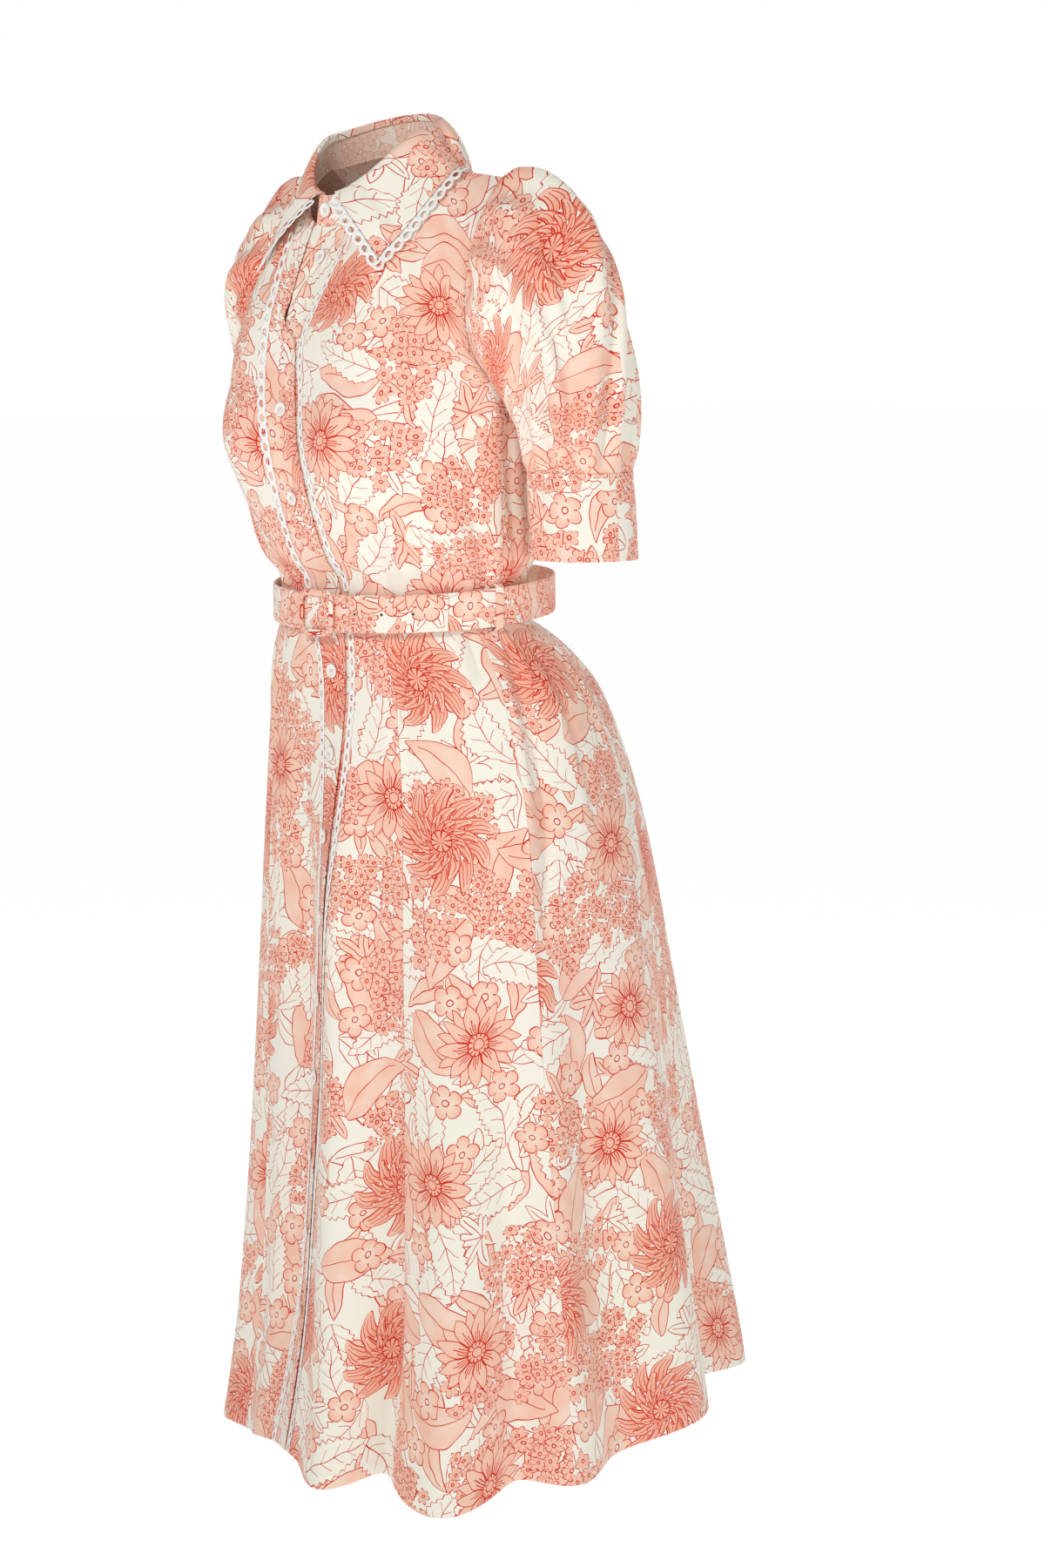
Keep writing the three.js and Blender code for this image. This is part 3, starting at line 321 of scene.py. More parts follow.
def dahlia(x, y, radius, count):
    """Rings of overlapping striped petals that swirl outwards, each ring larger."""
    r, angle = polar(x, y)
    log_r = op("LOGARITHM", r / (radius * 0.2), math.e) * 2.7
    inside = line = tone = None
    last = 2.7 * math.log(1 / 0.2) - 1.4
    for ring in (-1.0, 0.0):            # a nearer ring's tips lie over the next ring
        j = whole(log_r) + ring
        t = (log_r - j) / 1.75
        turned = angle * (count / TAU) + j * 0.5 + t * t * 0.6 + j * 0.18
        f = part(turned) - 0.5
        half = 0.56 * op("POWER", most(1 - t, 0.0), 0.45)
        width = r * (TAU / count)
        gap = (least(half, 0.5) - abs(f)) * width
        here = (gap > 0) * (j < last) * (j > -1.5)
        stripes = 1 + most(j, 0.0) * 0.5
        stripe = abs(part(f / most(half, 0.05) * stripes + 0.5) - 0.5) * (half * width / stripes)
        marks = most(gap < LINE * 1.35, (stripe < LINE * 0.45) * (t < 0.86))
        shade = 1.8 - 0.75 * t
        if inside is None:
            inside, line, tone = here, here * marks, shade
        else:
            line = line + (1 - inside) * here * marks
            tone = blend(shade, tone, inside)
            inside = most(inside, here)
    heart = r < radius * 0.15
    dots = most(abs(r - radius * 0.15) < LINE * 0.6, (part(angle * (9 / TAU)) < 0.3) * heart)
    return most(inside, heart), most(line * (1 - heart), dots), blend(tone, 1.4, heart)


def blossom(x, y, radius, count, pale, deep=0.40):
    """A round-petalled flower. pale lightens its middle, deep is how far its petals part."""
    r, angle = polar(x, y)
    f = abs(part(angle * (count / TAU)) - 0.5)
    edge = radius * ((1 - deep) + deep * op("POWER", abs(sine((0.5 - f) * math.pi)), 0.6))
    gap = edge - r
    inside = gap > 0
    notch = ((0.5 - f) * r * (TAU / count) < LINE * 0.6) * (r > radius * 0.45) * (r < radius * 0.75)
    middle = abs(r - radius * 0.16) < LINE * 0.6
    line = inside * most(most(gap < LINE * 1.2, notch), middle)
    tone = 1.1 - pale * (1 - rise(r, radius * 0.1, radius * 0.8))
    return inside, line, tone


print("flowers:", [f.__name__ for f in (daisy, dahlia, blossom)])

# %% Leaves
def leaf(x, y, length, wide, teeth, bend):
    """A leaf along x on a bent midrib: toothed edge and a few side veins."""
    s = x / length
    y = y + bend * x * s
    fine = abs(part(abs(s) * 5.5) - 0.5) * 2 * teeth
    half = wide * op("POWER", most(1 - s * s, 0.0), 0.7) * (1 + fine - s * 0.4)
    gap = half - abs(y)
    inside = gap > 0
    line = most(gap < LINE * 1.15, (abs(y) < LINE * 0.5) * (s < 0.7))
    apart = length * 0.36
    veins = (part((x - abs(y) * 0.9) / apart) * apart < LINE * 0.8) * (abs(y) < half * 0.62)
    return inside, inside * most(line, veins * (teeth > 0.01))


def star_leaf(x, y, radius, count):
    """A cut leaf: pointed lobes round a point, each with a rib."""
    r, angle = polar(x, y)
    lobe, side, rib = petals(r, angle, count, radius, 2.1 / count, 0.5)
    inside = (lobe > 0) * (abs(angle) < 2.5)
    edge = least(lobe, side + (r < radius * 0.5)) < LINE
    return inside, inside * most(edge, (rib < LINE * 0.5) * (r < radius * 0.8))


print("leaves:", [f.__name__ for f in (leaf, star_leaf)])

# %% The whole print as one node group
def print_group():
    """A node group: cloth measure in metres in, printed colour out."""
    group = bpy.data.node_groups.new("flower_print", "ShaderNodeTree")
    group.interface.new_socket("Cloth", in_out="INPUT", socket_type="NodeSocketVector")
    group.interface.new_socket("Color", in_out="OUTPUT", socket_type="NodeSocketColor")
    Num.tree = group
    source = group.nodes.new("NodeGroupInput").outputs[0]
    wobble = group.nodes.new("ShaderNodeTexNoise")
    plug(source, wobble.inputs["Vector"])
    plug(38.0, wobble.inputs["Scale"])
    plug(1.0, wobble.inputs["Detail"])
    hand = vector_op("MULTIPLY", vector_op("SUBTRACT", wobble.outputs["Color"], (0.5, 0.5, 0.5)),
                     (0.009, 0.009, 0.0))
    place = vector_op("ADD", source, hand)
    mottle = rise(Num(wobble.outputs[0]), 0.35, 0.65)
    tone, line = 0.0, 0.0

    def lay(inside, drawn, fill, border):
        """One motif over what is drawn so far. A neighbour that cuts it gets an outline."""
        nonlocal tone, line
        line = blend(line, most(drawn, border < LINE * 0.6), inside)
        tone = blend(tone, fill, inside)

    # leaves, from the bottom up: narrow ones, then cut ones, then broad toothed ones
    x, y, pick, other, _, border = scatter(place, 0.050, 0.5, 3)
    inside, drawn = leaf(x, y, 0.028, 0.0105, 0.0, (other - 0.5) * 0.9)
    lay(inside, drawn, (pick > 0.5) * (0.6 + 0.35 * mottle), border)
    x, y, pick, other, _, border = scatter(place, 0.074, 0.5, 5)
    inside, drawn = star_leaf(x, y, 0.034, 7)
    lay(inside * (pick > 0.3), drawn, (other > 0.5) * 0.85, border)
    for cell, seed, filled in ((0.078, 11, 0.75), (0.092, 13, 0.58)):
        x, y, pick, other, _, border = scatter(place, cell, 0.45, seed)
        bud = pick > filled
        inside, drawn = leaf(x, y, 0.040, blend(0.0165, 0.0205, bud), blend(0.24, 0.0, bud),
                             (other - 0.5) * 0.8)
        lay(inside, drawn, bud * (0.66 + 0.44 * mottle), border)
    # blossoms
    x, y, pick, _, _, border = scatter(place, 0.048, 0.6, 17)
    inside, drawn, fill = blossom(x, y, 0.0175, 5, 0.7)
    lay(inside * (pick > 0.55), drawn, fill, border)
    # sprays of tiny flowers: only where a larger scattering says so
    for cell, size, low, high, seed in ((0.0140, 0.0088, 0.12, 0.58, 23), (0.0175, 0.0110, 0.58, 2.0, 29)):
        x, y, _, _, centre, border = scatter(place, cell, 0.7, seed)
        inside, drawn, fill = blossom(x, y, size, 6, 0.0, 0.74)
        sx, sy, keep, _, _, _ = scatter(centre, 0.112, 0.6, 25)
        spray = op("SQRT", sx * sx * 0.6 + sy * sy * 1.5) < 0.037
        lay(inside * spray * (keep > low) * (keep < high), drawn, fill, border)
    # large flowers
    x, y, pick, _, _, border = scatter(place, 0.152, 0.5, 41)
    inside, drawn, fill = daisy(x, y, 0.042, 9)
    lay(inside * (pick < 0.40), drawn, fill, border)
    inside, drawn, fill = dahlia(x, y, 0.066, 10)
    lay(inside * (pick > 0.60), drawn, fill, border)

    ramp = group.nodes.new("ShaderNodeValToRGB")
    plug(tone * 0.5, ramp.inputs[0])
    stops = [(0.0, CREAM), (0.5, SALMON), (1.0, CORAL)]
    ramp.color_ramp.elements[0].color = stops[0][1]
    ramp.color_ramp.elements[1].position, ramp.color_ramp.elements[1].color = stops[2]
    middle = ramp.color_ramp.elements.new(stops[1][0])
    middle.color = stops[1][1]
    end = group.nodes.new("NodeGroupOutput")
    group.links.new(mixed(ramp.outputs[0], INK, least(line, 1.0)), end.inputs[0])
    print("print nodes:", len(group.nodes))
    return group


def srgb(r, g, b):
    """A screen colour, 0 to 255, as the linear colour that a shader takes."""
    def one(c):
        c /= 255
        return c / 12.92 if c <= 0.04045 else ((c + 0.055) / 1.055) ** 2.4
    return (one(r), one(g), one(b), 1.0)


CREAM, SALMON = srgb(251, 246, 232), srgb(253, 206, 183)
CORAL, INK = srgb(247, 152, 121), srgb(216, 46, 24)
flower_print = print_group()

# %% Cloth, lace and button finishes
def finish_base(name, roughness, sheen=0.0):
    """A new material with its shader, ready for nodes."""
    made = bpy.data.materials.new(name)
    made.use_nodes = True
    Num.tree = made.node_tree
    shader = made.node_tree.nodes["Principled BSDF"]
    shader.inputs["Roughness"].default_value = roughness
    shader.inputs["Specular IOR Level"].default_value = 0.3
    if sheen:
        shader.inputs["Sheen Weight"].default_value = sheen
        shader.inputs["Sheen Roughness"].default_value = 0.45
    return made, shader


def noise(place, scale, kind="ShaderNodeTexNoise"):
    """A noise texture, or another texture of the given kind, read at place."""
    node = Num.tree.nodes.new(kind)
    if place is not None:
        plug(place, node.inputs["Vector"])
    plug(scale, node.inputs["Scale"])
    return node


def object_place():
    return Num.tree.nodes.new("ShaderNodeTexCoord").outputs["Object"]


def two_tone(amount, low, high, shader, start=0.0, end=1.0):
    """Base colour that runs from low to high as amount goes from start to end."""
    ramp = Num.tree.nodes.new("ShaderNodeValToRGB")
    plug(amount, ramp.inputs[0])
    for stop, at, colour in zip(ramp.color_ramp.elements, (start, end), (low, high)):
        stop.position, stop.color = at, colour
    plug(ramp.outputs[0], shader.inputs["Base Color"])


def bump(height, strength, distance, shader):
    node = Num.tree.nodes.new("ShaderNodeBump")
    plug(strength, node.inputs["Strength"])
    plug(distance, node.inputs["Distance"])
    plug(height, node.inputs["Height"])
    plug(node.outputs[0], shader.inputs["Normal"])


THREAD_STEP = 0.0007    # from one thread of the weave to the next, metres


def printed_cloth(name, wrong_side):
    """Light crepe with the flower print. The wrong side shows the print through, paler."""
    made, shader = finish_base(name, 0.74, 0.12)
    uv = made.node_tree.nodes.new("ShaderNodeUVMap")
    uv.uv_map = "cloth"
    place = uv.outputs[0]
    group = made.node_tree.nodes.new("ShaderNodeGroup")
    group.node_tree = flower_print
    plug(place, group.inputs[0])
    colour = mixed(group.outputs[0], noise(place, 6.0).outputs["Color"], 0.06, "MULTIPLY")
    if wrong_side:
        colour = mixed(colour, srgb(246, 226, 208), 0.55)
    plug(colour, shader.inputs["Base Color"])
    x, y, _ = split(place)
    weave = sine(x * (TAU / THREAD_STEP)) * sine(y * (TAU / THREAD_STEP))
    bump(weave * 0.4 + Num(noise(place, 420.0).outputs[0]), 0.25, 0.0003, shader)
    return made


cloth = printed_cloth("printed_crepe", False)
cloth_back = printed_cloth("printed_crepe_wrong_side", True)
print("cloth nodes:", len(cloth.node_tree.nodes))

# %% [markdown]
# ## The dress form
# Every panel lies on a few smooth surfaces: a body, a sleeve, a collar and a skirt. They
# could be sculpted, but the frame's solids come from tables of rings and folds, so each
# surface here is a function of two measures, one round the wearer and one down, over the
# same tables. The fine sheets then land on the solids with no fitting.

# %% Small tools for forms
WAIST_Z, ARMPIT_Z, HEM_Z = -430, -208, -1283
TWIST, LEAN_X, CLOTH = math.radians(5), -8, 1.3
RAD = math.pi / 180


def table(names, *rows):
    """Columns by name, from rows of numbers."""
    return dict(zip(names.split(), np.array(rows, float).T))


def curve(xs, ys, x):
    """A smooth line through points whose xs rise."""
    xs, ys = np.asarray(xs, float), np.asarray(ys, float)
    n = len(xs)
    a, b = np.maximum(np.arange(n) - 1, 0), np.minimum(np.arange(n) + 1, n - 1)
    span = (xs[b] - xs[a]).reshape(-1, *[1] * (ys.ndim - 1))
    slope = (ys[b] - ys[a]) / span
    x = np.clip(x, xs[0], xs[-1])
    i = np.clip(np.searchsorted(xs, x, side="right") - 1, 0, n - 2)
    h = xs[i + 1] - xs[i]
    t = (x - xs[i]) / h
    if ys.ndim > 1:
        t, h = t[..., None], h[..., None]
    return ((2 * t**3 - 3 * t**2 + 1) * ys[i] + (t**3 - 2 * t**2 + t) * h * slope[i]
            + (3 * t**2 - 2 * t**3) * ys[i + 1] + (t**3 - t**2) * h * slope[i + 1])


def column(rows, z, key):
    return curve(rows["z"][::-1], rows[key][::-1], z)


def smooth(a, b, x):
    t = np.clip((x - a) / (b - a), 0, 1)
    return t * t * (3 - 2 * t)


def bell(x, w):
    return np.exp(-(x / w) ** 2)


def wrap_deg(d):
    return (d + 180) % 360 - 180


def vec(x, y, z):
    return np.stack(np.broadcast_arrays(x, y, z), -1).astype(float)


def unit(v):
    return v / np.maximum(np.linalg.norm(v, axis=-1, keepdims=True), 1e-12)


def spow(x, p):
    return np.sign(x) * np.abs(x) ** p


def bezier(p0, p1, p2, p3, t):
    t = np.asarray(t)[..., None]
    u = 1 - t
    return p0 * u**3 + p1 * 3 * u * u * t + p2 * 3 * u * t * t + p3 * t**3


def pose(p):
    """The wearer's upper body is turned a little and leans to the right."""
    k = smooth(WAIST_Z, -60, p[..., 2])
    c, s = np.cos(TWIST * k), np.sin(TWIST * k)
    return vec(p[..., 0] * c - p[..., 1] * s + LEAN_X * k, p[..., 0] * s + p[..., 1] * c, p[..., 2])


def normal_of(f, a, b, hint, h=1e-3):
    """Unit normal of f(a, b) on the side that hint points to."""
    n = unit(np.cross(f(a + h, b) - f(a - h, b), f(a, b + h) - f(a, b - h)))
    away = np.sum(n * hint(f(a, b)), -1, keepdims=True)
    return np.where(away < 0, -n, n)


def ring(rows, phi, z):
    c, s = np.cos(phi), np.sin(phi)
    e = 2 / column(rows, z, "n")
    depth = np.where(c > 0, column(rows, z, "f"), column(rows, z, "b"))
    return vec(column(rows, z, "a") * spow(s, e), column(rows, z, "y0") - depth * spow(c, e), z)


print("form tools ready")

# %% Tables of the bodice
NECK = dict(half=64, cy=-26, front=64, back=60, z_front=-58, z_back=18)
SHOULDER = np.array([138.0, 12.0, -12.0])
BODICE_RINGS = table(
    "z y0 a f b n",
    (-208, -5, 166, 132, 112, 2.2), (-262, -5, 160, 136, 110, 2.22),
    (-310, -4, 157, 130, 107, 2.2), (-355, -3, 158, 120, 107, 2.16),
    (-380, -1, 155, 112, 105, 2.1), (-394, 0, 149, 103, 101, 2.05),
    (-406, 0, 146.5, 100.5, 98.5, 2), (-430, 0, 146, 100, 98, 2))
BODICE_FOLDS = table(
    "phi w top amp",
    (34, 3.5, -280, -3), (43, 4, -290, 4), (54, 4, -300, -3), (66, 4, -310, 4),
    (80, 4.5, -320, -3), (104, 5, -310, 3.5), (122, 5, -300, -3), (140, 5, -290, 4),
    (160, 5, -300, -3), (-37, 4, -285, -3), (-48, 4, -290, 4), (-61, 4, -300, -3),
    (-74, 4.5, -315, 3.5), (-96, 5, -315, -3), (-114, 5, -300, 3.5), (-133, 5, -295, -3),
    (-151, 5, -300, 4), (-172, 5, -300, -3))
BUST = dict(x=84, z=-258, out=25, w=52, h=66)
FRONT_CTRL = table("s ax ay az bx by bz", (0, 0, 8, 50, 0, -16, -50), (0.5, -6, 0, 62, 10, -44, -28),
                   (0.75, -12, -8, 55, 14, -54, -34), (1, -17, -70, 6, 10, -72, -50))
BACK_CTRL = table("s ax ay az bx by bz", (0, 0, 6, 72, 0, 40, -30), (0.5, -4, 8, 70, 14, 64, -26),
                  (0.75, -10, 12, 60, 14, 60, -34), (1, -16, 66, 10, 8, 66, -52))

# creases that come and go: place round, width, where they start and end, depth, sideways drift
BODICE_CREASES = table(
    "phi w top low amp lean",
    (48, 2.0, -318, -424, -3.6, 10), (41, 2.6, -270, -404, 2.4, 8), (79, 2.6, -290, -420, -4.2, 9),
    (71, 2.6, -300, -420, 3.0, 8), (95, 4.0, -215, -380, -5.5, 8), (60, 1.7, -345, -426, 2.4, 3),
    (34, 1.6, -350, -426, -2.2, 3), (27, 1.6, -352, -426, 2.0, 1), (88, 1.9, -340, -426, 2.8, 2),
    (107, 2.4, -330, -426, -2.8, -3), (118, 2.0, -340, -426, 2.4, 2),
    (131, 2.4, -320, -426, -3.0, -4), (146, 1.9, -345, -426, 2.4, 2),
    (167, 2.2, -335, -426, -2.6, 3), (-31, 1.8, -350, -426, 2.2, -3),
    (-43, 2.2, -310, -426, -3.2, -8), (-56, 1.8, -345, -426, 2.4, 2),
    (-70, 2.6, -300, -420, -3.4, -7), (-84, 2.0, -335, -426, 2.6, -2),
    (-99, 3.4, -230, -390, -5.0, -6), (-120, 2.2, -330, -426, 2.6, 3),
    (-139, 2.0, -345, -426, -2.4, -2), (-158, 2.2, -330, -426, 2.6, 2))
SKIRT_CREASES = table(
    "phi w top low amp lean",
    (76, 3.0, -452, -800, 4.5, -11), (84, 3.4, -452, -790, -6.0, -11),
    (69, 1.9, -436, -492, -4.5, -3), (62, 2.0, -436, -540, 2.4, -2),
    (33, 2.2, -438, -560, -3.0, -13), (52, 2.6, -540, -800, -3.0, 2),
    (91, 1.6, -436, -500, 3.0, 2), (101, 2.2, -438, -640, -3.4, 2), (118, 2.4, -438, -600, 3.0, 2),
    (137, 2.0, -436, -560, -3.0, -2), (158, 2.4, -438, -620, 3.0, 3),
    (-29, 2.0, -438, -560, -2.6, 8), (-46, 2.2, -438, -540, 2.6, 4),
    (-73, 3.0, -450, -760, -4.5, 8), (-81, 3.0, -450, -740, 3.6, 8),
    (-108, 2.2, -438, -600, -3.2, -3), (-127, 2.4, -438, -560, 3.0, 2),
    (-149, 2.2, -438, -640, -3.2, -2), (-170, 2.0, -436, -540, 2.6, 2))


print("bodice folds and creases:", len(BODICE_FOLDS["phi"]), len(BODICE_CREASES["phi"]))

# %% The body as a surface
def creases(rows, deg, z):
    d = 0
    for at, w, top, low, amp, lean in zip(*rows.values()):
        t = np.clip((top - z) / (top - low), 0, 1)
        d = d + amp * bell(wrap_deg(deg - at - lean * (t - 0.5)), w) * np.sin(math.pi * t) ** 0.7
    return d


def body_low(phi, z):
    p = ring(BODICE_RINGS, phi, z)
    bx, bz = (np.abs(p[..., 0]) - BUST["x"]) / BUST["w"], (z - BUST["z"]) / BUST["h"]
    p[..., 1] -= BUST["out"] * np.exp(-bx * bx - bz * bz) * smooth(0, 0.5, np.cos(phi)) * (np.cos(phi) > 0)
    deg = np.degrees(np.arctan2(np.sin(phi), np.cos(phi)))
    d = creases(BODICE_CREASES, deg, z)
    for at, w, top, amp in zip(*BODICE_FOLDS.values()):
        d = d + amp * bell(deg - at, w) * smooth(top, -380, z) * (1 - 0.9 * smooth(-384, -402, z))
    return p + vec(np.sin(phi), -np.cos(phi), 0) * np.asarray(d)[..., None]


def neck_point(psi):
    """The neck seam. psi 0 at the front, 90 degrees at the side, 180 at the back."""
    c = np.cos(psi)
    front = np.maximum(c, 0) ** 1.4 * NECK["z_front"]
    back = np.maximum(-c, 0) ** 1.2 * NECK["z_back"]
    depth = np.where(c > 0, NECK["front"], NECK["back"])
    return vec(NECK["half"] * np.sin(psi), NECK["cy"] - depth * c, front + back)


def top_point(s, back):
    """The upper edge: neck seam up to half way, then the shoulder seam."""
    at = np.where(back, math.pi - s * math.pi, s * math.pi)
    t = np.clip((s - 0.5) * 2, 0, 1)[..., None]
    high = neck_point(np.full_like(s, math.pi / 2)) * (1 - t) + SHOULDER * t
    return np.where((s <= 0.5)[..., None], neck_point(at), high)


def ctrl(rows, s, which):
    return vec(*[np.interp(s, rows["s"], rows[which + k]) for k in "xyz"])


def body(phi, v):
    """v 0 at the waist, 0.5 at the armhole's foot, 1 at the neck and shoulder seams."""
    phi, v = np.broadcast_arrays(np.asarray(phi, float), np.asarray(v, float))
    low = body_low(phi, WAIST_Z + (ARMPIT_Z - WAIST_Z) * np.minimum(v, 0.5) * 2)
    ang = np.abs(np.arctan2(np.sin(phi), np.cos(phi)))
    back = ang > math.pi / 2
    s = np.minimum(1, np.where(back, math.pi - ang, ang) / (math.pi / 2))
    p0, p3 = body_low(ang, np.full_like(v, ARMPIT_Z)), top_point(s, back)
    a = np.where(back[..., None], ctrl(BACK_CTRL, s, "a"), ctrl(FRONT_CTRL, s, "a"))
    b = np.where(back[..., None], ctrl(BACK_CTRL, s, "b"), ctrl(FRONT_CTRL, s, "b"))
    high = bezier(p0, p0 + a, p3 + b, p3, np.maximum(v * 2 - 1, 0))
    high[..., 0] *= np.where(np.sin(phi) < 0, -1, 1)
    return np.where((v <= 0.5)[..., None], low, high)


def body_hint(p):
    k = smooth(-130, 0, p[..., 2])
    return vec(p[..., 0] * (1 - k), (p[..., 1] + 26) * (1 - 0.6 * k), 60 * k)


def body_at(phi, v, off):
    n = normal_of(body, np.asarray(phi, float), np.minimum(v, 0.998), body_hint)
    return body(phi, v) + n * np.asarray(off)[..., None]


waist_line = body(np.linspace(0, TAU, 200), 0.0)
print("waist girth, mm:", round(float(np.linalg.norm(np.diff(waist_line, axis=0), axis=1).sum())))

# %% Where the front bands run
# x of the seam and of the free edge of both front bands, down the front
FRONT_LINES = table(
    "z seamR edgeR seamL edgeL lift",
    (-50, -52, -22.4, 25, -20.5, 0), (-100, -48, -22.2, 29, -20.5, 0),
    (-132, -44, -21.9, 19, -20.5, 0), (-150, -42, -21.7, 12, -20.5, 1),
    (-172, -39, -1, 8, -20.5, 1), (-215, -33, 12, 19, -18, 1), (-264, -23, 24, 31, -12, 1),
    (-340, -20, 26, 33, -10, 1), (-430, -12, 31, 38, -6, 1), (-480, 0, 36, 43, 4, 1),
    (-545, 2, 33, 40, 6, 1), (-610, 4, 31, 38, 8, 1.2), (-680, 5, 29, 36, 9, 1.2),
    (-760, -1, 25, 31, 3, 1), (-860, -10, 14, 20, -6, 1), (-1000, -32, -6, 0, -28, 1),
    (-1152, -44, -19, -12, -40, 1), (-1230, -44, -17, -10, -40, 1), (-1300, -47, -16, -9, -43, 1))
LIFT = 2.2


def phi_at_x(surface, v, x):
    """How far round the front a given x lies, row by row."""
    a, b = np.zeros_like(v), np.full_like(v, 80 * RAD)
    side = np.where(x < 0, -1, 1)
    for _ in range(26):
        m = (a + b) / 2
        short = np.abs(surface(side * m, v)[..., 0]) < np.abs(x)
        a, b = np.where(short, m, a), np.where(short, b, m)
    return side * (a + b) / 2


def line_at(surface, key, v, shift):
    z = surface(0.02, v)[..., 2]
    return phi_at_x(surface, v, column(FRONT_LINES, z, key) + shift)


def right_lift(surface, phi, v):
    """The right front rides over the left one beside the opening."""
    z = surface(0.02, v)[..., 2]
    fade = smooth(30, 62, np.abs(phi) / RAD) * (phi < 0)
    return LIFT * column(FRONT_LINES, z, "lift") * (1 - fade)


def body_cloth(phi, v, off, on_right):
    return pose(body_at(phi, v, off + (right_lift(body, phi, v) if on_right else 0)))


band_width = FRONT_LINES["seamL"] - FRONT_LINES["edgeL"]
print("left band, mm across, least and most:", band_width.min(), band_width.max())

# %% [markdown]
# ## From a surface to a sheet of cloth
# A panel of a dress is thin, and has two sides and a grain. A cloth simulation could settle
# it, but its worn form is known here, so it is given. A sheet is a grid of points on
# the outside of a surface and a second grid a cloth's thickness inside it, joined round
# the edges. Its UV map is the cloth's own flat measure in metres: lengths are added up
# along the grain line and along each row, so the print keeps its size where a panel
# widens. Both sides get the same measure, because the printed side shows through.

# %% New pieces
def new_piece(name, verts, faces):
    """A new object with its mesh in metres."""
    mesh = bpy.data.meshes.new(name)
    mesh.from_pydata(verts, [], faces)
    piece = bpy.data.objects.new(name, mesh)
    bpy.context.collection.objects.link(piece)
    return piece


def shade_smooth(piece, sharp=None):
    """Smooth shading, with edges sharper than the given angle kept crisp."""
    polygons = piece.data.polygons
    polygons.foreach_set("use_smooth", np.ones(len(polygons), bool))
    if sharp:
        piece.data.set_sharp_from_angle(angle=math.radians(sharp))


def fix(piece, node=None):
    """Fixes a piece to the one body, and puts it in place of a solid if one is named."""
    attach(piece, "root")
    if node:
        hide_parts(node)


print("cloth stands off its form by, mm:", CLOTH)

# %% Making a sheet
SHEETS = {}


def sheet(name, at, us, vs, wall=0.9, outer=CLOTH, shift=(0, 0), closed=False, grain=0.5, girth=None):
    """A closed shell on at(U, V, off), wall thick, whose outside stands off by outer, in mm.
    shift places the panel on the printed cloth, and grain is the column that runs along the
    thread. A pleated tube that was cut straight has its flat width as girth."""
    U, V = np.meshgrid(us, vs)
    out, inn = at(U, V, outer) / 1000, at(U, V, outer - wall) / 1000
    if closed:
        last = out[:, :1]
        walk = np.concatenate([out, last], 1)
    else:
        walk = out
    step = np.linalg.norm(np.diff(walk, axis=1), axis=-1)
    across = np.concatenate([np.zeros((len(vs), 1)), np.cumsum(step, 1)], 1)
    mid = int(round((walk.shape[1] - 1) * grain))
    across = across - across[:, mid:mid + 1]
    if girth:
        across = np.repeat((np.append(us, 1.0) - us[mid])[None] * girth, len(vs), 0)
    down = np.concatenate([[0], np.cumsum(np.linalg.norm(np.diff(walk[:, mid], axis=0), axis=-1))])
    down = np.repeat(down[:, None], walk.shape[1], 1)
    measure = np.stack([across + shift[0], shift[1] - down], -1)
    m, n = out.shape[:2]
    cols = n if closed else n - 1
    i, j = np.meshgrid(np.arange(m - 1), np.arange(cols), indexing="ij")
    i, j = i.ravel(), j.ravel()
    k = (j + 1) % n
    top, low = i * n, (i + 1) * n
    front = np.stack([top + j, top + k, low + k, low + j], 1)
    fuv = np.stack([measure[i, j], measure[i, j + 1], measure[i + 1, j + 1], measure[i + 1, j]], 1)
    faces, uvs = [front, front[:, ::-1] + m * n], [fuv, fuv[:, ::-1]]
    side = [np.zeros(len(front)), np.ones(len(front))]

    def rim(rows, cells, flip):
        a, b = rows[:-1], rows[1:]
        q = np.stack([a, a + m * n, b + m * n, b], 1)
        uv = np.stack([cells[:-1], cells[:-1], cells[1:], cells[1:]], 1)
        faces.append(q[:, ::-1] if flip else q)
        uvs.append(uv[:, ::-1] if flip else uv)
        side.append(np.zeros(len(q)))

    loop = np.append(np.arange(n), 0) if closed else np.arange(n)
    rim(loop, measure[0], False)
    rim(loop + (m - 1) * n, measure[-1], True)
    if not closed:
        rim(np.arange(m) * n, measure[:, 0], True)
        rim(np.arange(m) * n + n - 1, measure[:, -1], False)
    faces, uvs = np.concatenate(faces), np.concatenate(uvs)
    verts = np.concatenate([out.reshape(-1, 3), inn.reshape(-1, 3)])
    a, b, c3, d = (verts[faces[:, q]] for q in range(4))
    volume = np.sum(a * np.cross(b, c3)) + np.sum(a * np.cross(c3, d))
    if volume < 0:
        faces, uvs = faces[:, ::-1], uvs[:, ::-1]
    piece = new_piece(name, verts.tolist(), faces.tolist())
    mesh = piece.data
    mesh.uv_layers.new(name="cloth").data.foreach_set("uv", uvs.reshape(-1))
    mesh.polygons.foreach_set("material_index", np.concatenate(side).astype(np.int32))
    shade_smooth(piece, 50)
    mesh.materials.append(cloth)
    mesh.materials.append(cloth_back)
    diagonals = np.cross(out[1:, 1:] - out[:-1, :-1], out[1:, :-1] - out[:-1, 1:])
    area = float(np.linalg.norm(diagonals, axis=-1).sum() / 2)
    wide, long = float((across[:, -1] - across[:, 0]).max()), float(down[-1, 0])
    SHEETS[name] = dict(wide=wide, long=long, area=area)
    print(f"{name}: {len(faces)} faces, {wide:.3f} x {long:.3f} m")
    return piece


LEAST_FLAT, LEAST_FILL = 0.011, 0.31    # smallest cut, metres, and least share of its rectangle


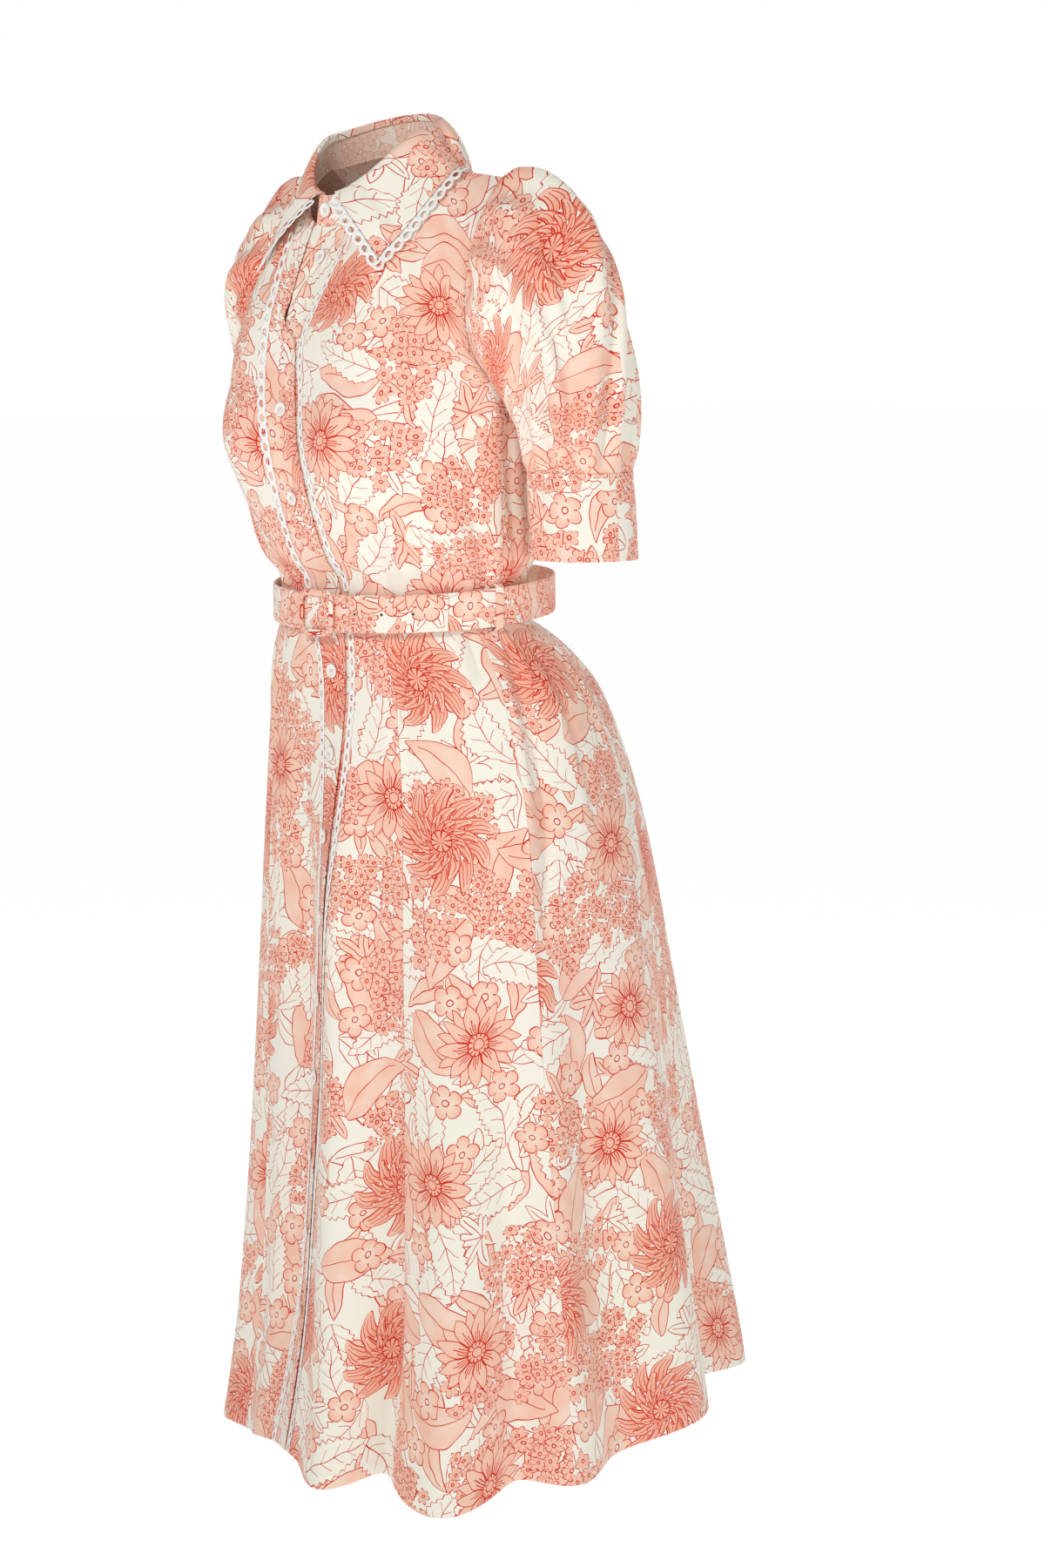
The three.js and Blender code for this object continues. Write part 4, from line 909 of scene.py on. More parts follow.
def dress_on(piece, node, full=1.0):
    """Fixes a sheet to the body, puts it in place of its solid and works out the size of its
    cut. full is how much wider the cloth is than the pleated sheet."""
    fix(piece, node)
    cut = SHEETS[piece.name]
    wide, long = cut["wide"] * full, cut["long"]
    area = min(cut["area"] * full, wide * long)
    max(area, LEAST_FILL * wide * long)

# %% Bodice panels
SIDE = math.pi / 2
HALF_GAP = 0.0008
down_bodice = np.linspace(0.9985, 0.001, 96)


def share(n):
    return np.linspace(0, 1, n)


def front_panel(side):
    key, lifted = ("seamL", False) if side > 0 else ("seamR", True)

    def at(U, V, off):
        a = line_at(body, key, V[:, :1], side * 0.1)
        phi = a + (side * (SIDE - HALF_GAP) - a) * U
        return body_cloth(phi, V, np.full(phi.shape, off), lifted)

    return at


def band_panel(surface, place, edge, seam, gap, lifted):
    def at(U, V, off):
        a, b = line_at(surface, edge, V[:, :1], 0), line_at(surface, seam, V[:, :1], gap)
        phi = a + (b - a) * U
        return place(phi, V, np.full(phi.shape, off), lifted)

    return at


def back_panel(U, V, off):
    phi = SIDE + HALF_GAP + (math.pi - 2 * HALF_GAP) * U
    return pose(body_at(phi, V, np.full(phi.shape, off)))


dress_on(sheet("bodice_front_cloth_left", front_panel(1), share(84), down_bodice, shift=(0.21, 0.03)),
         "bodice_front_left")
dress_on(sheet("bodice_front_cloth_right", front_panel(-1), share(84), down_bodice, shift=(0.83, 0.31)),
         "bodice_front_right")
dress_on(sheet("button_band_cloth", band_panel(body, body_cloth, "edgeL", "seamL", -0.1, False),
               share(14), down_bodice, shift=(1.31, 0.11)), "button_band_left")
dress_on(sheet("placket_cloth", band_panel(body, body_cloth, "edgeR", "seamR", 0.1, True),
               share(14), down_bodice, shift=(1.71, 0.47)), "placket_right")
dress_on(sheet("bodice_back_cloth", back_panel, share(150), down_bodice, shift=(2.3, 0.77)),
         "bodice_back")

# %% [markdown]
# ## Sleeves
# A puff sleeve is a wide tube pleated into the armhole and again into a narrow cuff. Its
# surface is a curve from each point of the armhole to the matching point of the cuff, as
# the threads of the cloth run. The pleats are short ridges that die out towards the
# middle, where the cloth falls in a few soft folds, each a row of a table.

# %% The sleeve as a surface
CUFF = dict(x=209, y=51, top=-292, bottom=-376, rx=48, ry=51, out_x=1, out_y=8)
HEAD_PLEATS, CUFF_PLEATS, PLEAT_H = 12, 12, 3.6
HEAD = table(
    "th ox oy oz up swell",
    (0, 78, 14, 30, 190, 16), (60, 62, -26, 8, 150, 16), (110, 40, -26, -6, 90, 13),
    (150, 24, -12, -8, 48, 6), (180, 15, 4, -10, 34, -4), (210, 24, 16, -8, 48, 6),
    (250, 42, 26, -4, 90, 13), (300, 64, 30, 10, 150, 16), (360, 78, 14, 30, 190, 16))


def head_at(deg, key):
    i = np.clip(np.searchsorted(HEAD["th"], deg, side="right") - 1, 0, len(HEAD["th"]) - 2)
    t = (deg - HEAD["th"][i]) / (HEAD["th"][i + 1] - HEAD["th"][i])
    e = t * t * (3 - 2 * t)
    return HEAD[key][i] * (1 - e) + HEAD[key][i + 1] * e


def hole_edge(th):
    """The armhole: th 0 at the shoulder, 90 degrees in front, 180 at the foot, 270 behind."""
    t = th / math.pi
    s = np.where(t <= 1, t, 2 - t)
    v = 1 - 0.5 * s**0.92
    phi = SIDE + np.where(t <= 1, -1e-4, 1e-4)
    return body_at(phi, v, CLOTH + 0.45 + 1.5 * (1 - np.cos(th)) / 2)


def cuff_point(th, z, grow):
    k = (CUFF["top"] - z) / (CUFF["top"] - CUFF["bottom"])
    return vec(CUFF["x"] + CUFF["out_x"] * k + (CUFF["rx"] + grow) * np.cos(th),
               CUFF["y"] + CUFF["out_y"] * k - (CUFF["ry"] + grow) * np.sin(th), z)


def sleeve(th, t):
    turn = th % TAU
    deg = np.degrees(turn)
    p0 = hole_edge(turn)
    p1 = p0 + vec(head_at(deg, "ox"), head_at(deg, "oy"), head_at(deg, "oz"))
    p3 = cuff_point(turn, np.full_like(turn, CUFF["top"] + 0.3), 0)
    swell = head_at(deg, "swell")
    p2 = p3 + vec(swell * np.cos(th), -swell * np.sin(th), head_at(deg, "up"))
    return bezier(p0, p1, p2, p3, t)


def sleeve_hint(p):
    k = smooth(-20, CUFF["top"], p[..., 2])
    return p - vec(150 + (CUFF["x"] - 150) * k, 12 + (CUFF["y"] - 12) * k, np.maximum(p[..., 2] - 10, -90))


spread = sleeve(np.linspace(0, TAU, 200), np.full(200, 0.5))
print("sleeve girth half way, mm:", round(float(np.linalg.norm(np.diff(spread, axis=0), axis=1).sum())))

# %% Sleeve and cuff cloth
# long soft folds: place round the sleeve, width, where they start and end, depth, drift
SLEEVE_FOLDS = table(
    "th w t0 t1 amp lean",
    (14, 8, 0.36, 0.99, 6.0, 38), (0, 6, 0.38, 0.99, -7.0, 36), (40, 5, 0.03, 0.8, 4.0, -6),
    (62, 8, 0.05, 0.98, 4.5, -10), (76, 5, 0.1, 0.99, -5.0, -4), (96, 8, 0.1, 0.85, -4.0, 6),
    (318, 8, 0.05, 0.98, -5.0, 8), (334, 4, 0.04, 0.7, 3.5, 6), (285, 9, 0.1, 0.9, 4.0, -6),
    (250, 8, 0.15, 0.95, -4.0, 4), (346, 8, 0.3, 0.98, 3.5, 30), (36, 5, 0.3, 0.99, -4.5, 36),
    (50, 4, 0.55, 1.0, -3.5, 3), (305, 4, 0.5, 1.0, 3.0, -3))


def sleeve_at(side):
    def at(U, T, off):
        th = U * TAU
        n = normal_of(sleeve, th, np.clip(T, 0.005, 0.995), sleeve_hint)
        deg, upper = (U * 360) % 360, 0.5 + 0.5 * np.cos(th)
        head = np.cos(th * HEAD_PLEATS) * PLEAT_H * smooth(0, 0.07, T)
        head = head * (1 - smooth(0.16, 0.42, T)) * smooth(0.35, 0.8, upper)
        foot = np.cos(th * CUFF_PLEATS) * PLEAT_H * smooth(0.6, 0.9, T) * (1 - smooth(0.95, 1, T) * 0.8)
        low = np.where((deg > 120) & (deg < 240), 0.3, 1)
        soft = (3.5 * np.sin(3 * th + 0.7) + 2.5 * np.sin(5 * th + 2)) * low
        soft = soft * smooth(0.1, 0.4, T) * (1 - smooth(0.6, 0.95, T))
        fold = 0
        for at_th, w, t0, t1, amp, lean in zip(*SLEEVE_FOLDS.values()):
            run = np.clip((T - t0) / (t1 - t0), 0, 1)
            aside = wrap_deg(deg - at_th - lean * (run - 0.5))
            fold = fold + amp * bell(aside, w) * np.sin(math.pi * run) ** 0.8
        p = sleeve(th, T) + n * (off + head + foot + soft + fold)[..., None]
        p[..., 0] *= side
        return pose(p)

    return at


def cuff_at(side):
    def at(U, T, off):
        z = CUFF["top"] + (CUFF["bottom"] - CUFF["top"]) * T
        p = cuff_point(U * TAU, z, off + 0.6 * np.sin(math.pi * T))
        p[..., 0] *= side
        return pose(p)

    return at


def ring_share(n):
    return np.arange(n) / n


for label, side, moved in (("left", 1, (0.4, 1.1)), ("right", -1, (1.2, 1.6))):
    piece = sheet(f"sleeve_cloth_{label}", sleeve_at(side), ring_share(170), np.linspace(0, 1, 90),
                  shift=moved, closed=True, grain=0.02, girth=0.43)
    dress_on(piece, f"sleeve_{label}", 1.15)
    piece = sheet(f"cuff_cloth_{label}", cuff_at(side), ring_share(120), np.linspace(0, 1, 30), wall=1.9,
                  outer=1.7, shift=(moved[0] + 0.33, moved[1] + 0.27), closed=True, grain=0.02)
    dress_on(piece, f"cuff_{label}")

# %% [markdown]
# ## Skirt
# Seven gores flare from the waist. The folds are wide swells of the form that deepen
# towards the hem, where the cloth's weight lets them open. Each is a soft bell across
# the form with its own place, width and depth, because even waves would look stiff.

# %% The skirt as a surface
SKIRT_RINGS = table(
    "z y0 a f b n",
    (-430, 0, 146, 100, 98, 2), (-441, 2, 148, 101, 104, 2), (-453, 6, 153, 105, 124, 2.02),
    (-476, 13, 166, 112, 148, 2.06), (-520, 22, 181, 120, 176, 2.1),
    (-611, 34, 198, 133, 203, 2.12), (-717, 40, 207, 143, 228, 2.12),
    (-861, 46, 216, 152, 250, 2.12), (-1006, 56, 224, 168, 266, 2.1),
    (-1152, 68, 233, 190, 282, 2.1), (-1235, 76, 239, 212, 290, 2.08),
    (-1300, 80, 243, 230, 294, 2.08))
SKIRT_FOLDS = table(
    "phi w top amp drop",
    (15, 6, -640, 18, 12), (27, 5, -700, -17, -6), (44, 11, -560, 32, 20), (62, 6, -620, -14, -4),
    (76, 7, -500, 13, 2), (92, 7, -600, -13, 0), (110, 9, -520, 18, 2), (131, 9, -620, -24, -4),
    (153, 10, -540, 24, 4), (174, 8, -600, -16, -3), (-166, 9, -560, 20, 3),
    (-146, 8, -640, -18, -3), (-125, 10, -540, 24, 4), (-103, 8, -600, -18, -2),
    (-84, 9, -520, 18, 3), (-63, 7, -620, -17, -2), (-42, 8, -600, 14, 8), (-27, 6, -660, -8, 6))
TUCKS = table(
    "phi w amp",
    (33, 4, -3), (50, 4, 3), (84, 5, -7), (97, 5, 5), (128, 6, -4), (150, 6, 4), (-33, 4, 3),
    (-52, 4, -3), (-86, 5, -6), (-99, 5, 5), (-130, 6, -4), (-152, 6, 4))
# the fold that stands beside the front opening, and the valley on its right
OPENING_FOLDS = table("phi w amp", (9.5, 6.5, 22), (-10.5, 7.5, -19))
HEM_RISE = dict(rise=36, start=78, end=118)


def skirt(phi, v):
    phi, v = np.broadcast_arrays(np.asarray(phi, float), np.asarray(v, float))
    deg = wrap_deg(np.degrees(phi))
    drop = 0
    for at, w, top, amp, low in zip(*SKIRT_FOLDS.values()):
        drop = drop + low * bell(wrap_deg(deg - at), w * 1.3)
    lift = HEM_RISE["rise"] * smooth(HEM_RISE["start"], HEM_RISE["end"], np.abs(deg))
    top_z = WAIST_Z - 1.2
    z = top_z + (HEM_Z + 4 + lift - drop - top_z) * v
    p = ring(SKIRT_RINGS, phi, z)
    d = creases(SKIRT_CREASES, deg, z)
    for at, w, top, amp, low in zip(*SKIRT_FOLDS.values()):
        d = d + amp * bell(wrap_deg(deg - at), w) * smooth(top, -1330, z) * 1.15
    for at, w, amp in zip(*TUCKS.values()):
        d = d + amp * bell(wrap_deg(deg - at), w) * smooth(-450, -510, z) * (1 - smooth(-560, -820, z))
    for at, w, amp in zip(*OPENING_FOLDS.values()):
        fade = smooth(-500, -760, z) * (1 - 0.45 * smooth(-1100, -1290, z))
        d = d + amp * bell(wrap_deg(deg - at), w) * fade
    return p + vec(np.sin(phi), -np.cos(phi), 0) * d[..., None]


def skirt_at(phi, v, off, on_right):
    n = normal_of(skirt, phi, np.clip(v, 0.002, 0.998), lambda p: vec(p[..., 0], p[..., 1] - 40, 0))
    off = off + (right_lift(skirt, phi, v) if on_right else 0)
    return pose(skirt(phi, v) + n * np.asarray(off)[..., None])


hem_line = skirt(np.linspace(-math.pi, math.pi, 400), 1.0)
print("hem girth, mm:", round(float(np.linalg.norm(np.diff(hem_line, axis=0), axis=1).sum())))

# %% The seven gores and the skirt's bands
GORES = (("skirt_front", None, 30, 44), ("skirt_side_front", 30, 75, 74), ("skirt_side_back", 75, 128, 84))
down_skirt = np.concatenate([np.linspace(0, 0.12, 26)[:-1], np.linspace(0.12, 1, 118)])


def gore(side, start, end):
    def at(U, V, off):
        if start is None:
            a = line_at(skirt, "seamL" if side > 0 else "seamR", V[:, :1], side * 0.1) * side
        else:
            a = start * RAD + HALF_GAP
        phi = side * (a + (end * RAD - HALF_GAP - a) * U)
        return skirt_at(phi, V, np.full(phi.shape, off), side < 0)

    return at


# where each gore was laid on the printed cloth: metres across and along it
LAID = {"skirt_front_left": (3.1, 0.2), "skirt_front_right": (4.3, 1.4),
        "skirt_side_front_left": (5.6, 0.9), "skirt_side_front_right": (6.6, 0.3),
        "skirt_side_back_left": (7.7, 1.8), "skirt_side_back_right": (8.6, 0.6)}
for label, side in (("left", 1), ("right", -1)):
    for name, start, end, cols in GORES:
        node = f"{name}_{label}"
        piece = sheet(f"{name}_cloth_{label}", gore(side, start, end), share(cols), down_skirt,
                      shift=LAID[node])
        dress_on(piece, node)


def back_gore(U, V, off):
    a, b = 128 * RAD + HALF_GAP, 232 * RAD - HALF_GAP
    phi = a + (b - a) * U
    return skirt_at(phi, V, np.full(phi.shape, off), False)


dress_on(sheet("skirt_back_cloth", back_gore, share(150), down_skirt, shift=(9.9, 0.4)), "skirt_back")
dress_on(sheet("skirt_button_band_cloth", band_panel(skirt, skirt_at, "edgeL", "seamL", -0.1, False),
               share(12), down_skirt, shift=(11.0, 0.4)), "skirt_button_band_left")
dress_on(sheet("skirt_placket_cloth", band_panel(skirt, skirt_at, "edgeR", "seamR", 0.1, True),
               share(12), down_skirt, shift=(11.5, 0.9)), "skirt_placket_right")

# %% [markdown]
# ## Collar
# A shirt collar has a stand that rises from the neck seam, and a leaf that folds over it
# and lies on the shoulder. Each leaf is swept from the fold to its outer edge, which is
# found on the body first, so that the leaf rests a little above the cloth everywhere.

# %% Collar stand
STAND_H = 30


def stand_point(psi, h, off):
    side, a = np.where(psi < 0, -1, 1), np.abs(psi)
    rise_mm = 2.2 + h * (STAND_H - 2 + 2 * (1 - np.cos(a)))
    out = unit(vec(np.sin(a) * 1.1, -np.cos(a), 0))
    p = neck_point(a) + out * np.asarray(off + 0.4 - 3.2 * h)[..., None] + vec(0, 0, rise_mm)
    p[..., 0] *= side
    return p


STAND_FROM, STAND_TO = -14.5, -38.5


def stand_panel(U, H, off):
    deg = STAND_FROM + (360 + STAND_TO - STAND_FROM) * U
    psi = np.where(deg > 180, deg - 360, deg) * RAD
    return pose(stand_point(psi, H, np.full(psi.shape, off)))


dress_on(sheet("collar_stand_cloth", stand_panel, share(130), np.linspace(1, -0.065, 14), shift=(12.3, 0.3)),
         "collar_stand")

# %% Collar leaves
def on_body(x, z, back):
    """The body's own measures where x and z are given."""
    def q(s):
        return np.where(back, math.pi - s * SIDE, s * SIDE)
    lo, hi = np.zeros_like(x), np.ones_like(x)
    for _ in range(24):
        v = (lo + hi) / 2
        a, b = np.zeros_like(x), np.ones_like(x)
        for _ in range(20):
            s = (a + b) / 2
            short = np.abs(body(q(s), v)[..., 0]) < x
            a, b = np.where(short, s, a), np.where(short, b, s)
        low = body(q(s), v)[..., 2] < z
        lo, hi = np.where(low, v, lo), np.where(low, hi, v)
    return q(s), (lo + hi) / 2


LEAF_FRONT = table("w x z", (0, 80, -90), (0.2, 91, -54), (0.38, 98, -20), (0.46, 98, -6))
LEAF_BACK = table(
    "w x z",
    (0.46, 98, -6), (0.6, 86, -14), (0.74, 62, -23), (0.88, 32, -29), (1, 0.01, -31))
leaf_w = np.linspace(0, 1, 24)
leaf_back = leaf_w > 0.46
spot_x, spot_z = (np.where(leaf_back, curve(LEAF_BACK["w"], LEAF_BACK[k], leaf_w),
                           curve(LEAF_FRONT["w"], LEAF_FRONT[k], leaf_w)) for k in ("x", "z"))
spot_phi, spot_v = on_body(spot_x, spot_z, leaf_back)
spot_p = body_at(spot_phi, spot_v, np.zeros(24))
spot_n = body_at(spot_phi, spot_v, np.ones(24)) - spot_p


def leaf_edge(w, which):
    return curve(leaf_w, spot_p if which == "p" else spot_n, w)


def collar_leaf(w, q):
    """w runs from the front edge to the centre back, q from the fold to the outer edge."""
    psi = (8 + 172 * w) * RAD
    fold = stand_point(psi, 1.0, 0.0) + vec(np.sin(psi) * 0.5, -np.cos(psi) * 0.5, 1.2)
    n = unit(leaf_edge(w, "n"))
    edge = leaf_edge(w, "p") + n * (CLOTH + 2.0 + 2 * bell(w - 0.46, 0.09))[..., None]
    span = fold - edge
    d = unit(span - n * np.sum(span * n, -1, keepdims=True))
    size = np.linalg.norm(span, axis=-1)
    out = unit(vec(np.sin(psi) * 1.05, -np.cos(psi), 0))
    p1 = fold + out * (7 + 3 * w)[..., None] + vec(0, 0, 3)
    p2 = edge + d * (0.48 * size)[..., None] + n * (7 + 15 * smooth(0.3, 0.6, w))[..., None]
    return bezier(fold, p1, p2, edge, q)


def leaf_normal(w, q):
    return normal_of(collar_leaf, np.clip(w, 0.002, 0.998), np.clip(q, 0.005, 0.995),
                     lambda p: vec(p[..., 0], p[..., 1] + 26, 40))


def leaf_panel(side):
    """Rows with Q under 0 roll over the stand's top and run down inside it."""

    def at(U, Q, off):
        w = U * 0.9985
        psi = (8 + 172 * w) * RAD
        inward = -unit(vec(np.sin(psi) * 1.1, -np.cos(psi), 0))
        roll = np.clip(-Q * 2, 0, 1)[..., None]
        down = np.clip(-Q * 2 - 1, 0, 1)
        n = unit(leaf_normal(w, np.maximum(Q, 0)) * (1 - roll) + inward * roll * 1.001)
        p = collar_leaf(w, np.maximum(Q, 0)) + n * off - vec(0, 0, 5.5 * down)
        p[..., 0] *= side
        return pose(p)

    return at


leaf_rows = np.concatenate([np.linspace(-1, -0.5, 4)[:-1], np.linspace(-0.5, 0, 7)[:-1],
                            np.linspace(0, 1, 30)])
for label, side, moved in (("left", 1, (13.2, 0.9)), ("right", -1, (13.9, 0.2))):
    dress_on(sheet(f"collar_leaf_cloth_{label}", leaf_panel(side), share(110), leaf_rows, shift=moved),
             f"collar_leaf_{label}")

# %% [markdown]
# ## Lace
# The collar's edging is a narrow cotton lace: a row of oval holes between a straight
# edge and scallops. A plain strip with clear spots in its material would look thin, so
# the holes are real. One cell is a ring of quads from a hole to its border. Repeated
# along a line on the cloth, and welded, the cells make one strip.

# %% A strip of lace
ROUND_HOLE = ((0.0, 0.25), (0.28, 0.95), (0.62, 1.0), (1.0, 0.45))   # share of the way out, height
PLAIN_HOLE = ((0.0, 0.3), (0.5, 1.0), (1.0, 0.4))


def lace_strip(spots, pitch, width, hole, scallop, start=0.0, rise_mm=1.0, base=0.15, around=24,
               rings=ROUND_HOLE):
    """spots: points, outward directions and normals along the edge, in mm."""
    p, o, n = spots
    middle = p + o * (start + width / 2)
    run = np.concatenate([[0], np.cumsum(np.linalg.norm(np.diff(middle, axis=0), axis=1))])
    cells = int(round(run[-1] / pitch))
    step = run[-1] / cells
    angles = (np.arange(around) + 0.5) / around * TAU
    ca, sa = np.cos(angles), np.sin(angles)
    reach = np.minimum(0.5 * step / np.maximum(np.abs(ca), 1e-6), 0.5 * width / np.maximum(np.abs(sa), 1e-6))
    ox, oy = ca * reach, sa * reach
    bow = 1 - scallop * (np.abs(ox) / (0.5 * step)) ** 2 * 2
    oy = np.where(oy > 0, oy * bow, oy)
    hx, hy = hole[0] / 2 * ca, hole[1] / 2 * sa
    verts, faces = [], []
    for c in range(cells):
        first = len(verts)
        for k, high in rings + tuple((back, 0.0) for back, _ in rings[::-1]):
            x, y = hx + (ox - hx) * k, hy + (oy - hy) * k
            at = (c + 0.5) * step + x
            q = (curve_line(run, p, at) + curve_line(run, o, at) * (start + width / 2 + y)[:, None]
                 + curve_line(run, n, at) * (base + rise_mm * high * (1 if high else 0)))
            verts.extend(q.tolist())
        loops = 2 * len(rings)
        for r in range(loops):
            a, b = first + r * around, first + (r + 1) % loops * around
            for k in range(around):
                kk = (k + 1) % around
                # walls between neighbouring cells are left open and welded
                if r == len(rings) - 1 and abs(ca[k]) * 0.5 * width > abs(sa[k]) * 0.5 * step and \
                        abs(ca[kk]) * 0.5 * width > abs(sa[kk]) * 0.5 * step:
                    inner = 0 < c < cells - 1 or (c == 0 and ca[k] > 0) or (c == cells - 1 and ca[k] < 0)
                    if inner:
                        continue
                faces.append((a + k, a + kk, b + kk, b + k))
    return verts, faces


def curve_line(run, values, at):
    at = np.clip(at, 0, run[-1])
    return np.stack([np.interp(at, run, values[:, k]) for k in range(3)], 1)


def outward_faces(piece, weld=None):
    """Turns all faces outwards, after points closer than weld metres are made one."""
    bpy.ops.object.select_all(action="DESELECT")
    bpy.context.view_layer.objects.active = piece
    piece.select_set(True)
    bpy.ops.object.mode_set(mode="EDIT")
    bpy.ops.mesh.select_all(action="SELECT")
    if weld:
        bpy.ops.mesh.remove_doubles(threshold=weld)
    bpy.ops.mesh.normals_make_consistent(inside=False)
    bpy.ops.object.mode_set(mode="OBJECT")


def make_lace(name, node, spots, side=1, **size):
    verts, faces = lace_strip(spots, **size)
    verts = np.array(verts)
    verts[:, 0] *= side
    piece = new_piece(name, (pose(verts) / 1000).tolist(), faces)
    outward_faces(piece, weld=0.00005)
    shade_smooth(piece)
    piece.data.materials.append(lace_cotton)
    fix(piece, node)
    print(name, len(piece.data.polygons), "faces")


def lace_finish():
    """Matt white cotton with a fine twist of thread."""
    made, shader = finish_base("cotton_lace", 0.88, 0.1)
    twist = noise(object_place(), 1500.0, "ShaderNodeTexVoronoi").outputs["Distance"]
    two_tone(twist, srgb(254, 253, 251), srgb(244, 240, 235), shader)
    bump(twist, 0.6, 0.0003, shader)
    return made


lace_cotton = lace_finish()
print("lace nodes:", len(lace_cotton.node_tree.nodes))

# %% Lace on the collar's edge
EDGING = dict(width=12.0, pitch=13.2, hole=(7.6, 5.4), start=0.6, scallop=0.2)


def edging_spots():
    """The leaf's free edge: down the front edge, round the point and along the outer edge."""

    def dirs(w, q, n):
        p = collar_leaf(np.array([w]), np.array([q]))[0]
        if q > 0.999:
            out = p - collar_leaf(np.array([w]), np.array([0.97]))[0]
        else:
            out = p - collar_leaf(np.array([0.03]), np.array([q]))[0]
        out = unit(out - n * np.dot(out, n))
        return [p, unit(out + n * 0.14), n]

    spots = []
    for q in np.linspace(0.3, 1, 13):
        n = leaf_normal(np.array([0.004]), np.array([min(q, 0.996)]))[0]
        spots.append(dirs(0.0, min(q, 0.998), n))
    corner = dirs(0.0, 1.0, unit(leaf_edge(np.array([0.0]), "n"))[0])
    last = spots[-1]
    for k in np.linspace(0.1, 0.9, 9):
        out = unit(last[1] * (1 - k) + corner[1] * k)
        spots.append([corner[0] + out * 3.2 * math.sin(math.pi * k), out, corner[2]])
    for w in np.linspace(0, 0.998, 60):
        spots.append(dirs(w, 1.0, unit(leaf_edge(np.array([w]), "n"))[0]))
    return [np.array(c) for c in zip(*spots)]


collar_edge = edging_spots()
for label, side in (("left", 1), ("right", -1)):
    make_lace(f"collar_lace_cotton_{label}", f"collar_lace_{label}", collar_edge, side=side, **EDGING)

# %% Lace over the band seams
def seam_spots(surface, key, shift, vs, lifted, flip):
    """A line down a band seam, with directions across it."""
    V = np.asarray(vs)[:, None]
    a = line_at(surface, key, V, shift)
    b = line_at(surface, key, V, shift + flip)
    off = np.full(a.shape, CLOTH)

    def raw(phi, o):
        if surface is body:
            return body_at(phi, V, o + (right_lift(body, phi, V) if lifted else 0))
        n = normal_of(skirt, phi, np.clip(V, 0.002, 0.998), lambda p: vec(p[..., 0], p[..., 1] - 40, 0))
        return skirt(phi, V) + n * (o + (right_lift(skirt, phi, V) if lifted else 0))[..., None]

    p = raw(a, off)[:, 0]
    return p, unit(raw(b, off)[:, 0] - p), unit(raw(a, off + 1)[:, 0] - p)


SEAM_LACE = dict(width=8.4, pitch=11.8, hole=(6.4, 3.4), scallop=0.18, rise_mm=0.8, base=0.5, around=16,
                 rings=PLAIN_HOLE)
WIDE_LACE = dict(SEAM_LACE, width=11.6, pitch=14.0, hole=(7.4, 5.2))
for part_name, surface, down_v, wide in (("placket", body, np.linspace(0.9, 0.045, 120), WIDE_LACE),
                                         ("skirt", skirt, np.linspace(0.02, 1, 240), SEAM_LACE)):
    make_lace(f"{part_name}_lace_cotton_right", f"{part_name}_lace_right",
              seam_spots(surface, "seamR", 3.2, down_v, True, -1), **wide)
    make_lace(f"{part_name}_lace_cotton_left", f"{part_name}_lace_left",
              seam_spots(surface, "seamL", -3.2, down_v, False, 1), **SEAM_LACE)

# %% [markdown]
# ## Belt
# The belt is a stiffened band covered in the dress cloth. It stands clear of the back,
# passes through a loop at each side, and its free end lies over it in front, under a
# covered buckle. Band, end and loops are sheets like the panels, on an oval round the
# waist, with their long edges drawn in so that they look turned and pressed.

# %% Belt, free end and loops
BELT = dict(h=37, t=2.4, z=-422, tilt=9, a=154, f=109, b=148)
TAIL_IN, TAIL_T = 2.7, 2.0
TAIL_OUT = TAIL_IN + TAIL_T


def belt_at(phi, h, off):
    s, c = np.sin(phi), np.cos(phi)
    b = np.where(c > 0, BELT["f"], BELT["b"])
    n = unit(vec(s / BELT["a"], -c / b, 0))
    z = BELT["z"] - BELT["tilt"] * c + (h - 0.5) * BELT["h"]
    return pose(vec(BELT["a"] * s, -b * c, z) + n * np.asarray(off)[..., None])


def soft_edge(h, t):
    """Rounds a band's long edges: both faces meet in the middle there."""
    return t / 2 * (1 - np.clip(1 - np.abs(2 * h - 1) ** 14, 0, 1) ** 0.5)


def belt_panel(U, H, off):
    inward = soft_edge(H, BELT["t"]) * (1 if off > BELT["t"] / 2 else -1)
    return belt_at(U * TAU, H, off - inward * 0.8)


def tail_panel(U, H, off):
    trim = 0.09 * (1 - smooth(0, 0.04, U))
    inward = soft_edge(H, TAIL_T) * (1 if off > TAIL_IN + TAIL_T / 2 else -1)
    return belt_at((-8 + 70 * U) * RAD, 0.02 + trim + (0.96 - 2 * trim) * H, off - inward * 0.8)


def loop_panel(deg):
    def at(U, H, off):
        sink = smooth(0.83, 1, np.abs(2 * H - 1)) * np.where(H > 0.5, 6.1, 4.6)
        return belt_at((deg + (U - 0.5) * 4.2) * RAD, 0.5 + (H - 0.5) * 1.26, off - sink)

    return at


across_belt = np.concatenate([[0, 0.006, 0.02, 0.05], np.linspace(0.1, 0.9, 12), [0.95, 0.98, 0.994, 1]])
along_tail = np.concatenate([[0, 0.005, 0.012, 0.02, 0.03], np.linspace(0.04, 1, 70)])
dress_on(sheet("belt_cloth", belt_panel, ring_share(220), across_belt, wall=BELT["t"], outer=BELT["t"],
               shift=(15.0, 0.5), closed=True, grain=0.0), "belt")
dress_on(sheet("belt_tail_cloth", tail_panel, along_tail, across_belt, wall=TAIL_T, outer=TAIL_OUT,
               shift=(16.2, 0.7)), "belt_tail")
for label, deg in (("left", 88), ("right", -88)):
    dress_on(sheet(f"belt_loop_cloth_{label}", loop_panel(deg), share(9), np.linspace(0, 1, 40), wall=1.2,
                   outer=BELT["t"] + 0.3 + 1.2, shift=(16.9, 0.2)), f"belt_loop_{label}")

